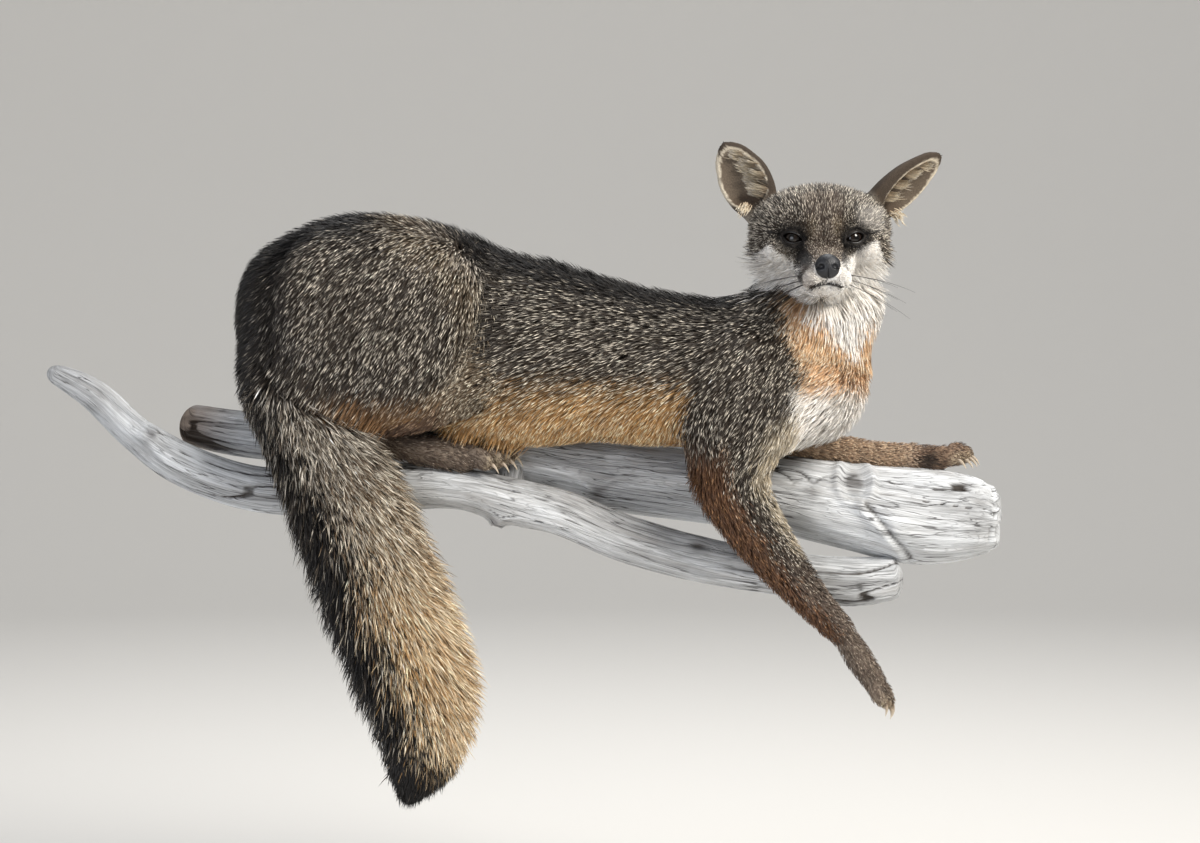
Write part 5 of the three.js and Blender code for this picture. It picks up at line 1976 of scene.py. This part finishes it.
# %% Weathered wood
def driftwood_material():
    """Sun-bleached wood: silver fibre, dark in the checks, quite matt."""
    mat, tree, shader = material("driftwood", Roughness=0.78, Specular_IOR_Level=0.3)
    colour = add(tree, "ShaderNodeAttribute", {"attribute_name": "Coat"})
    along = add(tree, "ShaderNodeUVMap", {"uv_map": "Grain"})
    place = add(tree, "ShaderNodeTexCoord", out="Object")

    def grain(scale, **settings):
        """Noise drawn out along the grain, by its bumps to a metre along and across."""
        at = add(tree, "ShaderNodeMapping", Vector=along, Scale=scale)
        return add(tree, "ShaderNodeTexNoise", Vector=at, Scale=1.0, **settings)

    fibre = grain((16.0, 900.0, 1.0), Detail=5.0, Roughness=0.6)
    band = grain((9.0, 160.0, 1.0), Detail=3.0)
    rings = grain((6.0, 110.0, 1.0), Detail=3.0, Roughness=0.5)
    patch = add(tree, "ShaderNodeTexNoise", Vector=place, Scale=22.0, Detail=3.0)
    # year rings: dark lines where a wave of the noise passes zero
    wave = add(tree, "ShaderNodeMath", {"operation": "MULTIPLY"}, i0=rings, i1=62.0)
    wave = add(tree, "ShaderNodeMath", {"operation": "SINE"}, i0=wave)
    wave = add(tree, "ShaderNodeMath", {"operation": "ABSOLUTE"}, i0=wave)
    line = add(tree, "ShaderNodeMapRange", i0=wave, i1=0.0, i2=0.42)
    # checks: thin lines where the bands pass their middle
    apart = add(tree, "ShaderNodeMath", {"operation": "SUBTRACT"}, i0=band, i1=0.5)
    apart = add(tree, "ShaderNodeMath", {"operation": "ABSOLUTE"}, i0=apart)
    crack = add(tree, "ShaderNodeMapRange", i0=apart, i1=0.004, i2=0.015)
    base = shaded(tree, colour, fibre, 0.35, 0.68, 0.74, 1.24)
    dull = add(tree, "ShaderNodeMapRange", i0=band, i1=0.52, i2=0.72, i4=0.35)
    base = add(tree, "ShaderNodeMix", OVER, MIX_COLOUR, i0=dull, i6=base, i7=rgba("#8F8A85"))
    bleached = add(tree, "ShaderNodeMapRange", i0=patch, i1=0.52, i2=0.72, i4=0.45)
    base = add(tree, "ShaderNodeMix", OVER, MIX_COLOUR, i0=bleached, i6=base, i7=rgba("#E4E8EC"))
    base = shaded(tree, base, line, 0.0, 1.0, 0.80, 1.0)
    some = add(tree, "ShaderNodeMapRange", i0=patch, i1=0.46, i2=0.60, i3=0.75, i4=0.12)
    dark = add(tree, "ShaderNodeMapRange", i0=crack, i3=1.0, i4=0.0)
    dark = add(tree, "ShaderNodeMath", {"operation": "MULTIPLY"}, i0=dark, i1=some)
    base = add(tree, "ShaderNodeMix", OVER, MIX_COLOUR, i0=dark, i6=base, i7=rgba("#2F2A27"))
    tree.links.new(base, shader.inputs["Base Color"])
    height = add(tree, "ShaderNodeMath", {"operation": "MULTIPLY_ADD"}, i0=line, i1=0.7, i2=fibre)
    height = add(tree, "ShaderNodeMath", {"operation": "MULTIPLY_ADD"}, i0=crack, i1=1.6, i2=height)
    bump = add(tree, "ShaderNodeBump", Height=height, Strength=0.7, Distance=0.001)
    tree.links.new(bump, shader.inputs["Normal"])
    return mat


WOOD_MAT = driftwood_material()
for piece in (upper, lower, stub):
    piece.data.materials.append(WOOD_MAT)
    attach(piece, "root")
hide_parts("log_upper")
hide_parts("log_lower")


def plywood_material():
    """Birch ply: pale rotary-cut face with long soft figure."""
    mat, tree, shader = material("plywood", Roughness=0.6)
    place = add(tree, "ShaderNodeTexCoord", out="Object")
    long = add(tree, "ShaderNodeMapping", Vector=place, Scale=(8.0, 60.0, 90.0))
    figure = add(tree, "ShaderNodeTexNoise", Vector=long, Scale=1.0, Detail=4.0)
    share = add(tree, "ShaderNodeMapRange", i0=figure, i1=0.35, i2=0.7)
    base = add(tree, "ShaderNodeMix", OVER, MIX_COLOUR, i0=share, i6=rgba("#C9A877"),
               i7=rgba("#AE8A5A"))
    tree.links.new(base, shader.inputs["Base Color"])
    bump = add(tree, "ShaderNodeBump", Height=figure, Strength=0.3, Distance=0.0004)
    tree.links.new(bump, shader.inputs["Normal"])
    return mat


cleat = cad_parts["wall_cleat"]
cleat.data.materials.clear()
cleat.data.materials.append(plywood_material())
say("driftwood")

# %% [markdown]
# ## Stage, camera and light
# A pale bowl for a floor, so that every view has the same plain ground. The
# camera stands level in front, at the height of the animal's shoulder; the
# light is a large soft window high on the right with a weaker one on the left.

# %% Stage
def bowl(radius=6.0, floor=-0.42, corner_r=2.5, height=5.0, around=96):
    """Floor that curves up into a round wall."""
    bend = np.linspace(0, math.pi / 2, 14)
    r = np.concatenate([[0.0005, 1, 2.2], radius - corner_r + corner_r * np.sin(bend), [radius]])
    z = np.concatenate([[0, 0, 0], corner_r * (1 - np.cos(bend)), [height]]) + floor
    f = np.arange(around) / around * 2 * math.pi
    verts = np.stack([r[:, None] * np.cos(f), r[:, None] * np.sin(f),
                      np.repeat(z[:, None], around, 1)], -1).reshape(-1, 3) / MM
    return mesh_object("stage_bowl", verts, tube_quads(len(r), around))


ground = bowl()
ground.data.materials.append(material("stage_paper", Base_Color=rgba("#D9D7D3"), Roughness=0.95)[0])
ground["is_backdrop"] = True

# %% Camera
VIEW_BACK, VIEW_HEIGHT, VIEW_LENS = 1.790, 0.0428, 63.75
camera_data = bpy.data.cameras.new("camera")
camera_data.lens = VIEW_LENS
camera_data.sensor_width = 36.0
camera_data.clip_end = 40.0
camera = bpy.data.objects.new("camera", camera_data)
camera.location = (0.0, -VIEW_BACK, VIEW_HEIGHT)
camera.rotation_euler = (math.radians(90), 0.0, 0.0)
bpy.context.scene.collection.objects.link(camera)
bpy.context.scene.camera = camera


# %% Light
def window(name, place, aim, size, power, colour):
    """A large soft area light."""
    data = bpy.data.lights.new(name, "AREA")
    data.shape = "DISK"
    data.size = size
    data.energy = power
    data.color = [float(v) for v in linear(colour)]
    obj = bpy.data.objects.new(name, data)
    obj.location = place
    direction = np.array(aim, float) - np.array(place, float)
    flat = math.hypot(direction[0], direction[1])
    obj.rotation_euler = (math.pi / 2 + math.atan2(direction[2], flat), 0.0,
                          math.atan2(direction[1], direction[0]) - math.pi / 2)
    bpy.context.scene.collection.objects.link(obj)
    return obj


CENTRE = (0.0, -0.1, 0.03)
window("key_window", (1.35, -1.45, 1.25), CENTRE, 0.9, 56, "#FFFAF2")
window("fill_window", (-1.6, -2.1, 0.1), CENTRE, 2.0, 30, "#EEF3FF")
window("top_light", (0.3, 0.3, 1.9), CENTRE, 1.2, 22, "#FFFFFF")
window("wall_wash", (0.0, 1.2, 2.6), (0.0, 6.0, 0.0), 4.0, 70, "#FFFFFF")
world = bpy.data.worlds.new("room")
bpy.context.scene.world = world
world.use_nodes = True
world.node_tree.nodes["Background"].inputs[0].default_value = rgba("#E6E8EC")
world.node_tree.nodes["Background"].inputs[1].default_value = 0.42
bpy.context.scene.view_settings.view_transform = "Standard"

# %% Size and finish
low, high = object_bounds()
faces = {obj.name: sum(len(poly.vertices) - 2 for poly in obj.data.polygons)
         for obj in bpy.context.scene.objects if obj.type == "MESH" and obj.name not in FLESH}
say("triangles", sum(faces.values()), {k: v for k, v in faces.items() if v > 20000})
say("size", [round(float(v), 3) for v in low], [round(float(v), 3) for v in high])
